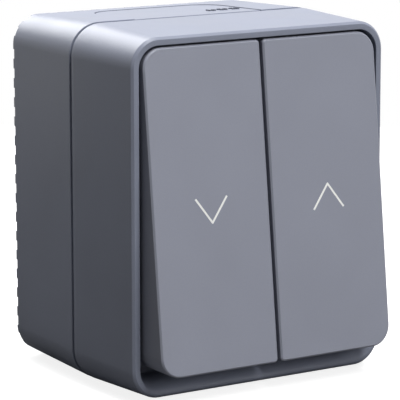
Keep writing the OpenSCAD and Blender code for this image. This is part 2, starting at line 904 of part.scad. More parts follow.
module rocker_outline(inset) {
    x0 = rocker_inner + inset;
    x1 = rocker_half_w - inset;
    y0 = rocker_bottom + inset;
    y1 = rocker_top - inset;
    big = rocker_corner_r - inset;
    small = inner_corner_r - inset;
    polygon(concat(
        corner(x1 - big, y1 - big, big, 0),
        corner(x0 + small, y1 - small, small, 90),
        corner(x0 + small, y0 + small, small, 180),
        corner(x1 - big, y0 + big, big, 270)
    ));
}

// A thin plate parallel to the tilted face, set below it
module face_plate(inset, sink) {
    multmatrix([[1, 0, 0, 0], [0, 1, 0, 0], [0, -slope, 1, face_z(0) - sink - sliver], [0, 0, 0, 1]])
        linear_extrude(sliver) rocker_outline(inset);
}

// The frame of the rocker's face: Y up along the face and Z out of it, from the top edge
module on_face() {
    translate([0, rocker_top, face_top_z]) rotate([-tilt, 0, 0]) children();
}

module arrow_form(side, depth, rise) {
    lean = atan(arrow_half_w / arrow_h);
    reach = norm([arrow_half_w, arrow_h]);
    along = (rocker_top - arrow_up) / cos(tilt);
    point_y = side * arrow_h / 2 - along;
    on_face() translate([side * rocker_mid, point_y, -depth]) {
        for (arm = [-1, 1])
            rotate([0, 0, arm * lean + (side > 0 ? 180 : 0)])
                translate([-arrow_line / 2, 0, 0]) cube([arrow_line, reach, depth + rise]);
        cylinder(h = depth + rise, r = arrow_line / 2);
    }
}

module rocker(side) {
    ear_base_z = hinge_z + ear_r / 2;
    reach = rocker_h / cos(tilt);
    color(shell_colour) upright() difference() {
        scale_side(side) union() {
            difference() {
                hull() {
                    prism(skirt_z, skirt_z + sliver) rocker_outline(0);
                    face_plate(0, rocker_bevel);
                    face_plate(rocker_bevel, 0);
                }
                difference() {
                    prism(skirt_z - over, front_z + 2 * rocker_stand) rocker_outline_inner();
                    on_face() translate([-half_w, -reach - over, -face_t])
                        cube([3 * half_w, reach + 2 * over, 3 * face_t]);
                }
            }
            rod(plunger_x, plunger_y, post_z, face_z(plunger_y) - face_t / 2, plunger_r);
            for (x = [inner_ear_x, outer_ear_x]) translate([x, 0, 0]) {
                cross_rod(0, ear_w, ear_r);
                translate([0, hinge_y - ear_r, hinge_z])
                    cube([ear_w, 2 * ear_r, face_z(hinge_y) - face_t / 2 - hinge_z]);
            }
        }
        cross_rod(-half_w, half_w, pin_r + ear_clear);
        arrow_form(side, arrow_depth, over);
    }
}

module rocker_outline_inner() {
    x0 = rocker_inner + skirt_t;
    x1 = rocker_half_w - skirt_t;
    y0 = rocker_bottom + skirt_t;
    y1 = rocker_top - skirt_t;
    big = rocker_corner_r - skirt_t;
    translate([x0, y0]) square([x1 - x0 - big, y1 - y0]);
    translate([x1 - big - over, y0 + big]) square([big + over, y1 - y0 - 2 * big]);
    for (y = [y0 + big, y1 - big]) translate([x1 - big, y]) circle(big);
}

module down_rocker() {
    rocker(down);
}

module up_rocker() {
    rocker(up);
}

module down_arrow() {
    color(mark_colour) upright() arrow_form(down, arrow_depth, press);
}

module up_arrow() {
    color(mark_colour) upright() arrow_form(up, arrow_depth, press);
}

back_box();
top_insert();
bottom_insert();
cable_membrane();
cover_seal();
front_cover();
cover_screws();
hinge_pin();
plunger_seals();
support_frame();
frame_screws();
mechanism_base();
guide_plate();
mechanism_cover();
mechanism_screws();
line_terminal();
down_terminal();
up_terminal();
terminal_screws();
fixed_contacts();
down_bridge();
up_bridge();
down_tips();
up_tips();
down_plunger();
up_plunger();
down_spring();
up_spring();
down_rocker();
up_rocker();
down_arrow();
up_arrow();
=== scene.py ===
import json
import math

import bmesh
import bpy
from bpy.props import FloatProperty, FloatVectorProperty, IntProperty, PointerProperty
from mathutils import Matrix, Vector


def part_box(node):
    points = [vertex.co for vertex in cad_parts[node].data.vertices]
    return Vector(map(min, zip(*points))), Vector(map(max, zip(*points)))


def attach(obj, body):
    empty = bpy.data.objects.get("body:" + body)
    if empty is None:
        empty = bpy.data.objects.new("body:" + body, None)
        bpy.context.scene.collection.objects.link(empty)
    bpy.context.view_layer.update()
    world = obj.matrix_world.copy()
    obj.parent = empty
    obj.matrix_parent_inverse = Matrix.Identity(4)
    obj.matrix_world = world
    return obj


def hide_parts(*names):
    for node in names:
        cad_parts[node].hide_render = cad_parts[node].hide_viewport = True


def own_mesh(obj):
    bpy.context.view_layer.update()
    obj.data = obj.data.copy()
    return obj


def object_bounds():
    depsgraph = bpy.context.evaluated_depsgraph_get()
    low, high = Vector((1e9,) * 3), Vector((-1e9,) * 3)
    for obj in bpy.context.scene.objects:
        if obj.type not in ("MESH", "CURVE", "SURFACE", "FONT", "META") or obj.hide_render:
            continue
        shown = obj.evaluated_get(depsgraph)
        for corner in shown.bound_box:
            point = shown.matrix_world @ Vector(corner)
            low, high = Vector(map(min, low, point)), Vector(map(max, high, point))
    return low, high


bl_info = {
    "name": "Roller shutter switch",
    "version": (1, 0, 0),
    "blender": (4, 5, 0),
    "location": "View3D > Sidebar > Switch",
    "description": "Surface mounted switch with a down rocker and an up rocker, built on its packed frame",
    "category": "Add Mesh",
}

# Sizes are in metres. X runs to the right, Z up, and Y from the front to the wall at Y = 0.
# Outlines are drawn as (x, up) at a depth, and a depth is a distance out of the wall.
MM = 0.001
CORNER_STEPS = 16
OVER = 1 * MM

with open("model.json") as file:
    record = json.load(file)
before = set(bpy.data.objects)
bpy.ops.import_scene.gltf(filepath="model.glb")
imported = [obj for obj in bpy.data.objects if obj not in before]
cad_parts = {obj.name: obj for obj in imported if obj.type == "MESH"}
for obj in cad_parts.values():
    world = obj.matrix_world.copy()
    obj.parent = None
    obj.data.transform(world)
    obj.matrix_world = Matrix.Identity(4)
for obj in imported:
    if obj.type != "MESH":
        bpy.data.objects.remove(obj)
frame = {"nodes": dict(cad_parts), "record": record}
cad_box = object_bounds()
nodes = frame["nodes"]
wall_holes = next(mount["dims"] for mount in frame["record"]["mounts"] if mount["name"] == "wall_mount")


def low(name):
    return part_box(name)[0]


def high(name):
    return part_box(name)[1]


def middle(name):
    return (low(name) + high(name)) / 2


def linear(hex_colour):
    """An sRGB hex colour as linear RGBA"""
    parts = [int(hex_colour[i:i + 2], 16) / 255 for i in (1, 3, 5)]
    return tuple(c / 12.92 if c <= 0.04045 else ((c + 0.055) / 1.055) ** 2.4 for c in parts) + (1.0,)


def length(name, description, default, least=0.0):
    return FloatProperty(name=name, description=description, default=default, min=least, max=0.2,
                         precision=5, subtype="DISTANCE", unit="LENGTH")


def colour(name, description, hex_colour):
    return FloatVectorProperty(name=name, description=description, default=linear(hex_colour), size=4,
                               min=0, max=1, subtype="COLOR")


class SwitchHousingSizes(bpy.types.PropertyGroup):
    """Sizes of the back box and the front cover"""
    width: length("Width", "Width of the housing at the seam", high("back_box").x - low("back_box").x)
    height: length("Height", "Height of the housing at the seam", high("back_box").z - low("back_box").z)
    seam: length("Seam", "Distance from the wall to the seam", -low("back_box").y)
    front: length("Front", "Distance from the wall to the bezel", -low("front_cover").y)
    draft: length("Draft", "How far each wall slopes in to its free end", 0.9 * MM)
    corner: length("Corner", "Corner radius at the seam", 8 * MM)
    seam_gap: length("Seam gap", "Width of the shadow gap at the seam", 0.5 * MM)
    seam_groove: length("Seam groove", "Depth of the shadow gap", 0.6 * MM)
    cover_step: length("Cover step", "How far the cover's edge is set in at the gap", 0.25 * MM)
    cover_lead: length("Cover lead", "Depth over which that edge comes out", 1.9 * MM)
    soft: length("Small rounding", "Rounding of the moulded edges", 0.1 * MM)
    rim_bevel: length("Rim chamfer", "Chamfer of the bezel's outer edge", 0.6 * MM)
    rim_width: length("Rim width", "Width of the bezel", 1.9 * MM)
    recess: length("Recess depth", "Depth of the recess below the bezel", 8 * MM)
    recess_floor: length("Recess floor", "Thickness of the recess floor", 2 * MM)
    sill_land: length("Sill land", "Flat bezel left in front of the sill", 0.15 * MM)
    sill_height: length("Sill height", "Height of the rolled sill above the recess bottom", 2.4 * MM)
    sill_depth: length("Sill depth", "Depth of the rolled sill", 6 * MM)
    wall: length("Wall", "Wall thickness of the back box", 2.2 * MM)
    floor_lift: length("Floor lift", "Distance from the wall to the back box floor", 1.6 * MM)
    floor: length("Floor", "Thickness of the back box floor", 2.2 * MM)
    rib: length("Rib", "Width of the ribs behind the floor", 1.2 * MM)
    seal_inset: length("Seal inset", "Distance of the seal groove from the outer edge", 1 * MM)
    seal: length("Seal", "Width and depth of the seal groove", 1.2 * MM)
    tooth_pitch: length("Tooth pitch", "Distance from one rim tooth to the next", 4.76 * MM)
    tooth_gap: length("Tooth gap", "Gap between two rim teeth", 2.38 * MM)
    tooth_height: length("Tooth height", "How far the rim teeth stand out", 0.56 * MM)
    tooth_reach: length("Tooth reach", "How far the gaps cut into the rim", 1.4 * MM)
    tooth_top: length("Top tooth", "Height of the uppermost side tooth above the middle", 35.1 * MM)


class SwitchFixingSizes(bpy.types.PropertyGroup):
    """Sizes of the bosses, pillars, lugs and screws"""
    hole_x: length("Wall hole side", "Wall holes, from the middle", wall_holes["spacing_x_mm"] / 2 * MM)
    hole_up: length("Wall hole height", "Wall holes, from the middle", wall_holes["spacing_y_mm"] / 2 * MM)
    hole: length("Wall hole", "Radius of a wall hole", wall_holes["hole_r_mm"] * MM)
    boss: length("Wall boss", "Radius of the boss around a wall hole", 4.6 * MM)
    pillar: length("Pillar", "Radius of a screw pillar in the back box", 3.4 * MM)
    cover_pillar: length("Cover pillar", "Radius of a screw pillar in the cover", 4.2 * MM)
    pilot: length("Pilot hole", "Radius of a pilot hole", 1.25 * MM)
    pilot_depth: length("Pilot depth", "Depth of a pilot hole", 12 * MM)
    clearance: length("Clearance hole", "Radius of a clearance hole", 1.7 * MM)
    shank: length("Shank", "Radius of a cover or frame screw", 1.2 * MM)
    head: length("Screw head", "Radius of its head", 2.8 * MM)
    head_height: length("Head height", "Height of its head", 2 * MM)
    head_seat: length("Head seat", "Radius of the pocket around a head", 3 * MM)
    head_sink: length("Head sink", "Depth of that pocket", 2.3 * MM)
    small_shank: length("Small shank", "Radius of a mechanism screw", 1.1 * MM)
    small_head: length("Small head", "Radius of its head", 2 * MM)
    small_height: length("Small head height", "Height of its head", 1.6 * MM)
    lug: length("Lug", "Radius of a fixed hinge lug", 1.9 * MM)
    lug_width: length("Lug width", "Width of a fixed hinge lug", 2.1 * MM)
    lug_gap: length("Lug gap", "Gap beside a hinge lug", 0.4 * MM)
    lug_bore: length("Lug bore", "Radius of the bore in a lug", 1.02 * MM)
    guide: length("Plunger guide", "Radius of the collar around a plunger", 6.2 * MM)
    guide_bore: length("Plunger bore", "Radius of the bore around a plunger", 3.08 * MM)
    guide_ring: length("Ring seat", "Radius of the seat of the rubber ring", 5.1 * MM)
    guide_reach: length("Guide reach", "How far the collar reaches behind the recess floor", 1.4 * MM)


class SwitchRockerSizes(bpy.types.PropertyGroup):
    """Sizes of the two rockers"""
    inner: length("Inner side", "Distance of a rocker from the middle", low("up_rocker").x)
    outer: length("Outer side", "A rocker's outer side, from the middle", high("up_rocker").x)
    top: length("Top", "Height of the top edge above the middle", high("up_rocker").z)
    bottom: length("Bottom", "Height of the bottom edge, below the middle", low("up_rocker").z, -0.2)
    face_depth: length("Top edge depth", "Distance from the wall to the face at its top edge", 56 * MM)
    stand: length("Stand", "How much further the bottom edge stands out", 8.5 * MM)
    skirt: length("Skirt end", "Distance from the wall to the skirt's free edge", 53 * MM)
    bevel: length("Edge chamfer", "Chamfer of the outer edges", 0.4 * MM)
    soft: length("Small rounding", "Rounding of the chamfer's edges", 0.05 * MM)
    corner: length("Outer corner", "Corner radius of the outer corners", 5 * MM)
    inner_corner: length("Inner corner", "Corner radius beside the centre gap", 0.9 * MM)
    skirt_wall: length("Skirt wall", "Thickness of the skirt", 1.6 * MM)
    face_wall: length("Face wall", "Thickness of the face", 2.2 * MM)
    post: length("Post", "Radius of the post that pushes the plunger", 3 * MM)
    post_lift: length("Post end", "Height of the post's end above the recess floor", 6 * MM)
    ear: length("Ear", "Radius of a hinge ear", 2.1 * MM)
    ear_width: length("Ear width", "Width of a hinge ear", 4 * MM)
    ear_bore: length("Ear bore", "Radius of the bore in an ear", 1.05 * MM)
    arrow_half: length("Arrow half width", "Half width of an arrow head", 4.3 * MM)
    arrow_height: length("Arrow height", "Height of an arrow head", 5.85 * MM)
    arrow_line: length("Arrow line", "Line width of an arrow head", 0.5 * MM)
    arrow_up: length("Arrow middle", "Height of the arrow's middle above the middle", 1.8 * MM)
    arrow_depth: length("Arrow depth", "Depth of the pocket that holds the inlay", 0.3 * MM)


class SwitchSmallSizes(bpy.types.PropertyGroup):
    """Sizes of the entry inserts, membrane, numbers and springs"""
    insert_width: length("Insert width", "Width of an entry insert", 36 * MM)
    insert_back: length("Insert rear", "Distance from the wall to an insert's rear edge", 5 * MM)
    insert_corner: length("Insert corner", "Corner radius of an insert", 7 * MM)
    insert_gap: length("Insert gap", "Gap around an insert", 0.15 * MM)
    insert_sink: length("Insert sink", "How far an insert lies below the wall around it", 0.12 * MM)
    insert_edge: length("Insert edge", "Chamfer of an insert's outer edge", 0.12 * MM)
    flange: length("Flange", "Thickness of an insert's inner flange", 1.6 * MM)
    flange_lip: length("Flange lip", "How far the flange reaches behind the wall", 2.2 * MM)
    entry: length("Cable opening", "Radius of the round cable opening", 8 * MM)
    rim: length("Membrane rim", "Width of the rims that hold the membrane", 1.4 * MM)
    cable: length("Cable hole", "Radius of the cable hole in the membrane", 3.2 * MM)
    sleeve: length("Membrane sleeve", "Length of the sleeve around the cable hole", 2.4 * MM)
    mark: length("Mark height", "Height of the numbers on the upper insert", 1.9 * MM)
    mark_rise: length("Mark rise", "How far the numbers stand out of the insert", 0.28 * MM)
    mark_x: length("Mark place", "Middle of the numbers, right of the middle", 11.5 * MM)
    mark_depth: length("Mark depth", "Foot of the numbers, out of the wall", 22.8 * MM)
    wire: length("Spring wire", "Wire thickness of a return spring", 0.7 * MM)
    turns: IntProperty(name="Spring turns", description="Number of turns of a return spring", default=5, min=2)
    travel: length("Travel", "How far a plunger moves", 2.55 * MM)


class SwitchColours(bpy.types.PropertyGroup):
    """Colours of the finishes"""
    housing: colour("Housing", "Matt grey of the back box and front cover", "#868B9B")
    rocker: colour("Rockers", "Satin grey of the rockers", "#8E919E")
    arrow: colour("Arrows", "White of the arrow inlays", "#F4F4F2")
    # The marks' dark grey is painted shade, standing in for the shade of the raised numbers' sides and shadows.
    mark: colour("Marks", "Dark grey of the moulded numbers", "#555966")
    rubber: colour("Rubber", "Black of the seals and the entry membrane", "#26272A")
    steel: colour("Steel", "Zinc plating of frame, screws, springs and pin", "#B4B7BC")
    brass: colour("Brass", "Brass of the terminals and bridges", "#C8A45C")
    silver: colour("Silver", "Silver of the contact tips", "#DADAD6")
    insulator: colour("Insulator", "Ivory of the switch mechanism", "#DCD8CA")
    paper: colour("Paper", "White of the floor and backdrop", "#FFFFFF")


# Shapes

def place(x, up, depth):
    """A point of the wall plane drawing in the finished frame"""
    return Vector((x, -depth, up))


def outline(left, right, bottom, top, radii, squash=1.0):
    """A closed outline from the right top corner round; squash stretches the two lower corners' height"""
    corners = ((right, top, radii[0], 0), (left, top, radii[1], 90),
               (left, bottom, radii[2], 180), (right, bottom, radii[3], 270))
    points = []
    for x, y, r, start in corners:
        tall = r * (squash if start >= 180 else 1)
        cx = x - r if start in (0, 270) else x + r
        cy = y - tall if start < 180 else y + tall
        for i in range(CORNER_STEPS + 1):
            a = math.radians(start + 90 * i / CORNER_STEPS)
            points.append((cx + r * math.cos(a), cy + tall * math.sin(a)))
    return points


def even_outline(half_x, half_y, r):
    return outline(-half_x, half_x, -half_y, half_y, (r, r, r, r))


def flat(points, depth):
    return [place(x, y, depth) for x, y in points]


def chamfer(size, soft):
    """(inset, sink) pairs from a wall to the face in front of it, with both edges of the chamfer softened"""
    near = 0.7 * soft
    return ((0, size + soft), (0.2 * soft, size), (near, size - near), (size - near, near), (size, 0.2 * soft),
            (size + soft, 0))


def new_object(name, bm):
    """An object of the finished bmesh, with its faces turned outwards"""
    bmesh.ops.remove_doubles(bm, verts=bm.verts, dist=1e-7)
    bmesh.ops.recalc_face_normals(bm, faces=bm.faces)
    mesh = bpy.data.meshes.new(name)
    bm.to_mesh(mesh)
    bm.free()
    obj = bpy.data.objects.new(name, mesh)
    bpy.context.scene.collection.objects.link(obj)
    return obj


def loft(name, rings):
    """A closed solid through rings of the same count, with its first and last ring filled"""
    bm = bmesh.new()
    layers = [[bm.verts.new(p) for p in ring] for ring in rings]
    count = len(layers[0])
    for a, b in zip(layers, layers[1:]):
        for i in range(count):
            j = (i + 1) % count
            bm.faces.new((a[i], a[j], b[j], b[i]))
    bm.faces.new(list(reversed(layers[0])))
    bm.faces.new(layers[-1])
    return new_object(name, bm)


def rod(start, end, radius, steps=64):
    """A round bar between two points"""
    axis = end - start
    side = axis.orthogonal().normalized()
    other = axis.normalized().cross(side)
    turns = [2 * math.pi * i / steps for i in range(steps)]
    return loft("rod", [[p + radius * (math.cos(t) * side + math.sin(t) * other) for t in turns]
                        for p in (start, end)])


def depth_rod(x, up, start, end, radius):
    return rod(place(x, up, start), place(x, up, end), radius)


def block(near, far):
    """A box between two corners, given as (x, up, depth)"""
    (x0, u0, d0), (x1, u1, d1) = near, far
    ring = [(x0, u0), (x1, u0), (x1, u1), (x0, u1)]
    return loft("block", [flat(ring, d0), flat(ring, d1)])


def turned(name, profile, centre, axis, steps=96):
    """A profile of (radius, distance along axis), turned once about the axis"""
    side = axis.orthogonal().normalized()
    other = axis.cross(side)
    bm = bmesh.new()
    loops = []
    for i in range(steps):
        t = 2 * math.pi * i / steps
        out = math.cos(t) * side + math.sin(t) * other
        loops.append([bm.verts.new(centre + r * out + h * axis) for r, h in profile])
    for i in range(steps):
        a, b = loops[i], loops[(i + 1) % steps]
        for k in range(len(profile)):
            m = (k + 1) % len(profile)
            if profile[k][0] or profile[m][0]:
                bm.faces.new((a[k], a[m], b[m], b[k]))
    return new_object(name, bm)


def baked(obj):
    """Turns an object with its modifiers into a plain mesh"""
    mesh = bpy.data.meshes.new_from_object(obj.evaluated_get(bpy.context.evaluated_depsgraph_get()))
    obj.modifiers.clear()
    old, obj.data = obj.data, mesh
    if old.users == 0:
        bpy.data.meshes.remove(old)
    return obj


def remove(obj):
    mesh = obj.data
    bpy.data.objects.remove(obj)
    if mesh.users == 0:
        bpy.data.meshes.remove(mesh)


def combine(target, tools, operation):
    """Joins the tools to the target or cuts them out of it"""
    for tool in tools:
        step = target.modifiers.new("combine", "BOOLEAN")
        step.operation = operation
        step.solver = "EXACT"
        step.object = tool
        baked(target)
        remove(tool)
    return target


def join_to(target, tools):
    return combine(target, tools, "UNION")


def cut_from(target, tools):
    return combine(target, tools, "DIFFERENCE")


def dress(obj, material, sharp=32):
    """Smooth shading between sharp edges, with flat faces kept flat, and one material"""
    mesh = obj.data
    mesh.shade_smooth()
    mesh.set_sharp_from_angle(angle=math.radians(sharp))
    mesh.materials.clear()
    mesh.materials.append(material)
    even = obj.modifiers.new("flat faces", "WEIGHTED_NORMAL")
    even.keep_sharp = True
    even.weight = 80
    return obj


def finished(obj, name, body, slot, *replaced):
    obj.name = name
    obj.data.name = name
    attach(obj, body)
    if replaced:
        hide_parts(*replaced)
    return obj


# Node trees

def add(tree, kind, inputs=None, **settings):
    """Adds a node, sets its settings, and gives each input a value or a link from (node, output)"""
    node = tree.nodes.new(kind)
    for name, value in settings.items():
        setattr(node, name, value)
    for name, value in (inputs or {}).items():
        socket = node.inputs[name]
        if isinstance(value, tuple) and isinstance(value[0], bpy.types.Node):
            tree.links.new(value[0].outputs[value[1]], socket)
        else:
            socket.default_value = value
    return node


def tree_with(name, inputs):
    """A geometry node tree with named inputs: returns the tree and its group input"""
    tree = bpy.data.node_groups.new(name, "GeometryNodeTree")
    tree.interface.new_socket("Geometry", in_out="INPUT", socket_type="NodeSocketGeometry")
    for label, kind in inputs.items():
        tree.interface.new_socket(label, in_out="INPUT", socket_type="NodeSocket" + kind)
    tree.interface.new_socket("Material", in_out="INPUT", socket_type="NodeSocketMaterial")
    tree.interface.new_socket("Geometry", in_out="OUTPUT", socket_type="NodeSocketGeometry")
    return tree, tree.nodes.new("NodeGroupInput")


def close_tree(tree, source, geometry):
    """Realises the instances, sets the material from the tree's input and ends the tree"""
    real = add(tree, "GeometryNodeRealizeInstances", {"Geometry": geometry})
    painted = add(tree, "GeometryNodeSetMaterial", {"Geometry": (real, 0), "Material": (source, "Material")})
    add(tree, "NodeGroupOutput", {"Geometry": (painted, 0)})


def grown(obj, tree, material, values):
    """Runs a geometry node tree on an object with the given inputs and keeps the plain mesh"""
    step = obj.modifiers.new("nodes", "NODES")
    step.node_group = tree
    sockets = {item.name: item.identifier for item in tree.interface.items_tree if item.in_out == "INPUT"}
    for label, value in {"Material": material, **values}.items():
        step[sockets[label]] = value
    return baked(obj)


def points_object(name, points, turns=()):
    """A mesh of loose points, with a turn about Y kept on each"""
    mesh = bpy.data.meshes.new(name)
    mesh.from_pydata(points, [], [])
    if turns:
        mesh.attributes.new("turn", "FLOAT", "POINT").data.foreach_set("value", turns)
    obj = bpy.data.objects.new(name, mesh)
    bpy.context.scene.collection.objects.link(obj)
    return obj


# Materials

finishes = {}


def new_material(name, base, **constants):
    """A principled material; the constants go straight on the shader's sockets"""
    material = bpy.data.materials.new(name)
    material.use_nodes = True
    tree = material.node_tree
    tree.nodes.clear()
    sockets = {key.replace("_", " "): value for key, value in constants.items()}
    shader = add(tree, "ShaderNodeBsdfPrincipled", {"Base Color": base, **sockets})
    add(tree, "ShaderNodeOutputMaterial", {"Surface": (shader, 0)})
    return material, tree, shader


def shaded(base, share):
    return tuple(min(1.0, c * share) for c in base[:3]) + (1.0,)


def moulded(name, base, grain, depth, roughness, tone=0.04, gloss=0.03, **constants):
    """Moulded plastic: fine grain of the eroded tool, faint flow tone and slightly uneven gloss"""
    material, tree, shader = new_material(name, base, **constants)
    where = add(tree, "ShaderNodeTexCoord")
    fine = add(tree, "ShaderNodeTexNoise", {"Vector": (where, "Object"), "Scale": 1 / grain, "Detail": 2.0})
    flow = add(tree, "ShaderNodeTexNoise", {"Vector": (where, "Object"), "Scale": 1 / (14 * MM), "Detail": 1.0})
    both = add(tree, "ShaderNodeMath", {0: (fine, 0), 1: (flow, 0)}, operation="ADD")
    share = add(tree, "ShaderNodeMapRange", {"Value": (both, 0), "From Min": 0.7, "From Max": 1.3})
    tint = add(tree, "ShaderNodeMix", {"Factor": (share, 0), "A": shaded(base, 1 - tone),
                                       "B": shaded(base, 1 + tone)}, data_type="RGBA")
    sheen = add(tree, "ShaderNodeMapRange", {"Value": (flow, 0), "From Min": 0.35, "From Max": 0.65,
                                             "To Min": roughness - gloss, "To Max": roughness + gloss})
    bump = add(tree, "ShaderNodeBump", {"Height": (fine, 0), "Strength": 1.0, "Distance": depth})
    tree.links.new(tint.outputs[2], shader.inputs["Base Color"])
    tree.links.new(sheen.outputs[0], shader.inputs["Roughness"])
    tree.links.new(bump.outputs[0], shader.inputs["Normal"])
    return material


def worked_metal(name, base, grain, depth, roughness, stretch):
    """Rolled or turned metal: grain drawn out along one direction, a cloudy tone and uneven gloss"""
    material, tree, shader = new_material(name, base, Metallic=1.0)
    where = add(tree, "ShaderNodeTexCoord")
    along = add(tree, "ShaderNodeMapping", {"Vector": (where, "Object"), "Scale": stretch})
    fine = add(tree, "ShaderNodeTexNoise", {"Vector": (along, 0), "Scale": 1 / grain, "Detail": 3.0})
    cloud = add(tree, "ShaderNodeTexNoise", {"Vector": (where, "Object"), "Scale": 1 / (5 * MM), "Detail": 2.0})
    tint = add(tree, "ShaderNodeMix", {"Factor": (cloud, 0), "A": shaded(base, 0.82), "B": base},
               data_type="RGBA")
    gloss = add(tree, "ShaderNodeMapRange", {"Value": (fine, 0), "From Min": 0.3, "From Max": 0.7,
                                             "To Min": roughness - 0.06, "To Max": roughness + 0.08})
    bump = add(tree, "ShaderNodeBump", {"Height": (fine, 0), "Strength": 0.6, "Distance": depth})
    tree.links.new(tint.outputs[2], shader.inputs["Base Color"])
    tree.links.new(gloss.outputs[0], shader.inputs["Roughness"])
    tree.links.new(bump.outputs[0], shader.inputs["Normal"])
    return material


def make_finishes(colours):
    """All finishes of the switch, by the record's slot names"""
    base = {name: tuple(getattr(colours, name)) for name in SwitchColours.__annotations__}
    # Impact-grade ABS moulded in a spark-eroded tool: a soft matt sheen that goes pale at a grazing angle.
    # The real grain is about 0.1 mm, drawn at 0.3 mm so that it shows.
    finishes["housing"] = moulded("matt_moulded_abs", base["housing"], 0.3 * MM, 0.006 * MM, 0.40,
                                  IOR=1.53, Specular_IOR_Level=0.3)
    # The same ABS from a finer tool: smoother and a shade lighter, so that the rockers read as touched parts.
    finishes["rocker"] = moulded("satin_moulded_abs", base["rocker"], 0.25 * MM, 0.004 * MM, 0.40, tone=0.03,
                                 IOR=1.53, Specular_IOR_Level=0.3)
    # White second-shot ABS let into the rocker: clean, a little glossier than its surround.
    finishes["arrow"] = moulded("white_inlay_abs", base["arrow"], 0.4 * MM, 0.002 * MM, 0.35, tone=0.01, IOR=1.53)
    # Raised numbers of the same ABS, coloured a darker grey as painted shade: the dark stands in for the shade of their
    # sides and the small shadows they cast.
    finishes["mark"] = moulded("dark_inked_abs", base["mark"], 0.3 * MM, 0.004 * MM, 0.5, tone=0.05, IOR=1.53)
    # EPDM rubber: nearly black and dull, with a dusty bloom in its flow tone.
    finishes["rubber"] = moulded("epdm_rubber", base["rubber"], 0.5 * MM, 0.012 * MM, 0.72, tone=0.18, IOR=1.5)
    # PBT of the mechanism: ivory, faintly waxy, with visible flow marks.
    finishes["insulator"] = moulded("ivory_pbt", base["insulator"], 0.35 * MM, 0.005 * MM, 0.48, tone=0.05, IOR=1.57)
    # Zinc-plated sheet and wire: cool grey, finely rolled, with a cloudy bloom.
    finishes["steel"] = worked_metal("zinc_plated_steel", base["steel"], 0.25 * MM, 0.004 * MM, 0.34, (1, 1, 0.15))
    # Stamped brass strip: warm, drawn along its length.
    finishes["brass"] = worked_metal("stamped_brass", base["brass"], 0.2 * MM, 0.003 * MM, 0.3, (0.2, 1, 1))
    # Silver contact rivets: bright but slightly pitted from pressing.
    finishes["silver"] = worked_metal("pressed_silver", base["silver"], 0.3 * MM, 0.004 * MM, 0.26, (1, 1, 1))


# Housing

def housing_outline(s, inset):
    """The housing's outline at the seam, set in"""
    return even_outline(s.width / 2 - inset, s.height / 2 - inset, s.corner - inset)


def wall_up(s, depth, sink=0.0):
    """Height of the back box's upper wall face at a depth"""
    return s.height / 2 - sink - s.draft * (1 - depth / (s.seam - s.seam_gap / 2))


def recess_half(s):
    inset = s.draft + s.rim_width
    return s.width / 2 - inset, s.height / 2 - inset, s.corner - inset


def notch_places(s):
    """Middle and turn of each gap in the toothed rear rim"""
    half_x, half_y, r = s.width / 2 - s.draft, s.height / 2 - s.draft, s.corner - s.draft
    places = []
    for k in range(int(2 * s.tooth_top / s.tooth_pitch) + 1):
        up = s.tooth_top - (k + 0.5) * s.tooth_pitch
        places += [(side * half_x, up, 0.0) for side in (-1, 1)]
    reach = int((half_x - r) / s.tooth_pitch)
    for k in range(-reach, reach + 1):
        places += [(k * s.tooth_pitch, side * half_y, math.pi / 2) for side in (-1, 1)]
    for sx, sy in four_corners(1, 1):
        for degrees in (27, 63):
            x, y = sx * math.cos(math.radians(degrees)), sy * math.sin(math.radians(degrees))
            places.append((sx * (half_x - r) + r * x, sy * (half_y - r) + r * y, -math.atan2(y, x)))
    return places


def rim_notches(s):
    """Cutting blocks for the gaps in the toothed rim, set out by a node tree"""
    tree, source = tree_with("rim notches", {"Reach": "Float", "Gap": "Float", "Height": "Float"})
    size = add(tree, "ShaderNodeCombineXYZ", {"X": (source, "Reach"), "Y": (source, "Height"), "Z": (source, "Gap")})
    cube = add(tree, "GeometryNodeMeshCube", {"Size": (size, 0)})
    turn = add(tree, "GeometryNodeInputNamedAttribute", {"Name": "turn"}, data_type="FLOAT")
    spin = add(tree, "ShaderNodeCombineXYZ", {"Y": (turn, 0)})
    spread = add(tree, "GeometryNodeInstanceOnPoints", {"Points": (source, "Geometry"), "Instance": (cube, 0),
                                                        "Rotation": (spin, 0)})
    close_tree(tree, source, (spread, 0))
    places = notch_places(s)
    dots = points_object("notches", [place(x, up, 0) for x, up, _ in places], [turn for _, _, turn in places])
    return grown(dots, tree, finishes["housing"],
                 {"Reach": 2 * s.tooth_reach, "Gap": s.tooth_gap, "Height": 2 * s.tooth_height})


def four_corners(x, up):
    return [(sx * x, sy * up) for sx in (-1, 1) for sy in (-1, 1)]


def insert_outline(s, small, gap, end):
    """The U-shaped outline of an entry insert, as (x, depth), open towards the seam"""
    half, r, rear = small.insert_width / 2 - gap, small.insert_corner, small.insert_back + gap
    points = [(half, end), (-half, end)]
    for cx, start in ((r - half, 180), (half - r, 270)):
        for i in range(CORNER_STEPS + 1):
            a = math.radians(start + 90 * i / CORNER_STEPS)
            points.append((cx + r * math.cos(a), rear + r + r * math.sin(a)))
    return points


def insert_opening(s, small, way):
    """Cuts the opening of an entry insert in the top or bottom wall"""
    inner = s.height / 2 - s.draft - s.wall - small.flange - OVER
    points = insert_outline(s, small, 0, s.seam + OVER)
    return loft("opening", [[place(x, way * up, depth) for x, depth in points]
                            for up in (inner, s.height / 2 + OVER)])


def seal_groove(s):
    """Cuts the groove that holds the seal cord"""
    outer, inner = housing_outline(s, s.seal_inset), housing_outline(s, s.seal_inset + s.seal)
    groove = loft("groove", [flat(outer, s.seam - s.seal), flat(outer, s.seam + OVER)])
    return cut_from(groove, [loft("land", [flat(inner, s.seam - 2 * s.seal), flat(inner, s.seam + 2 * OVER)])])


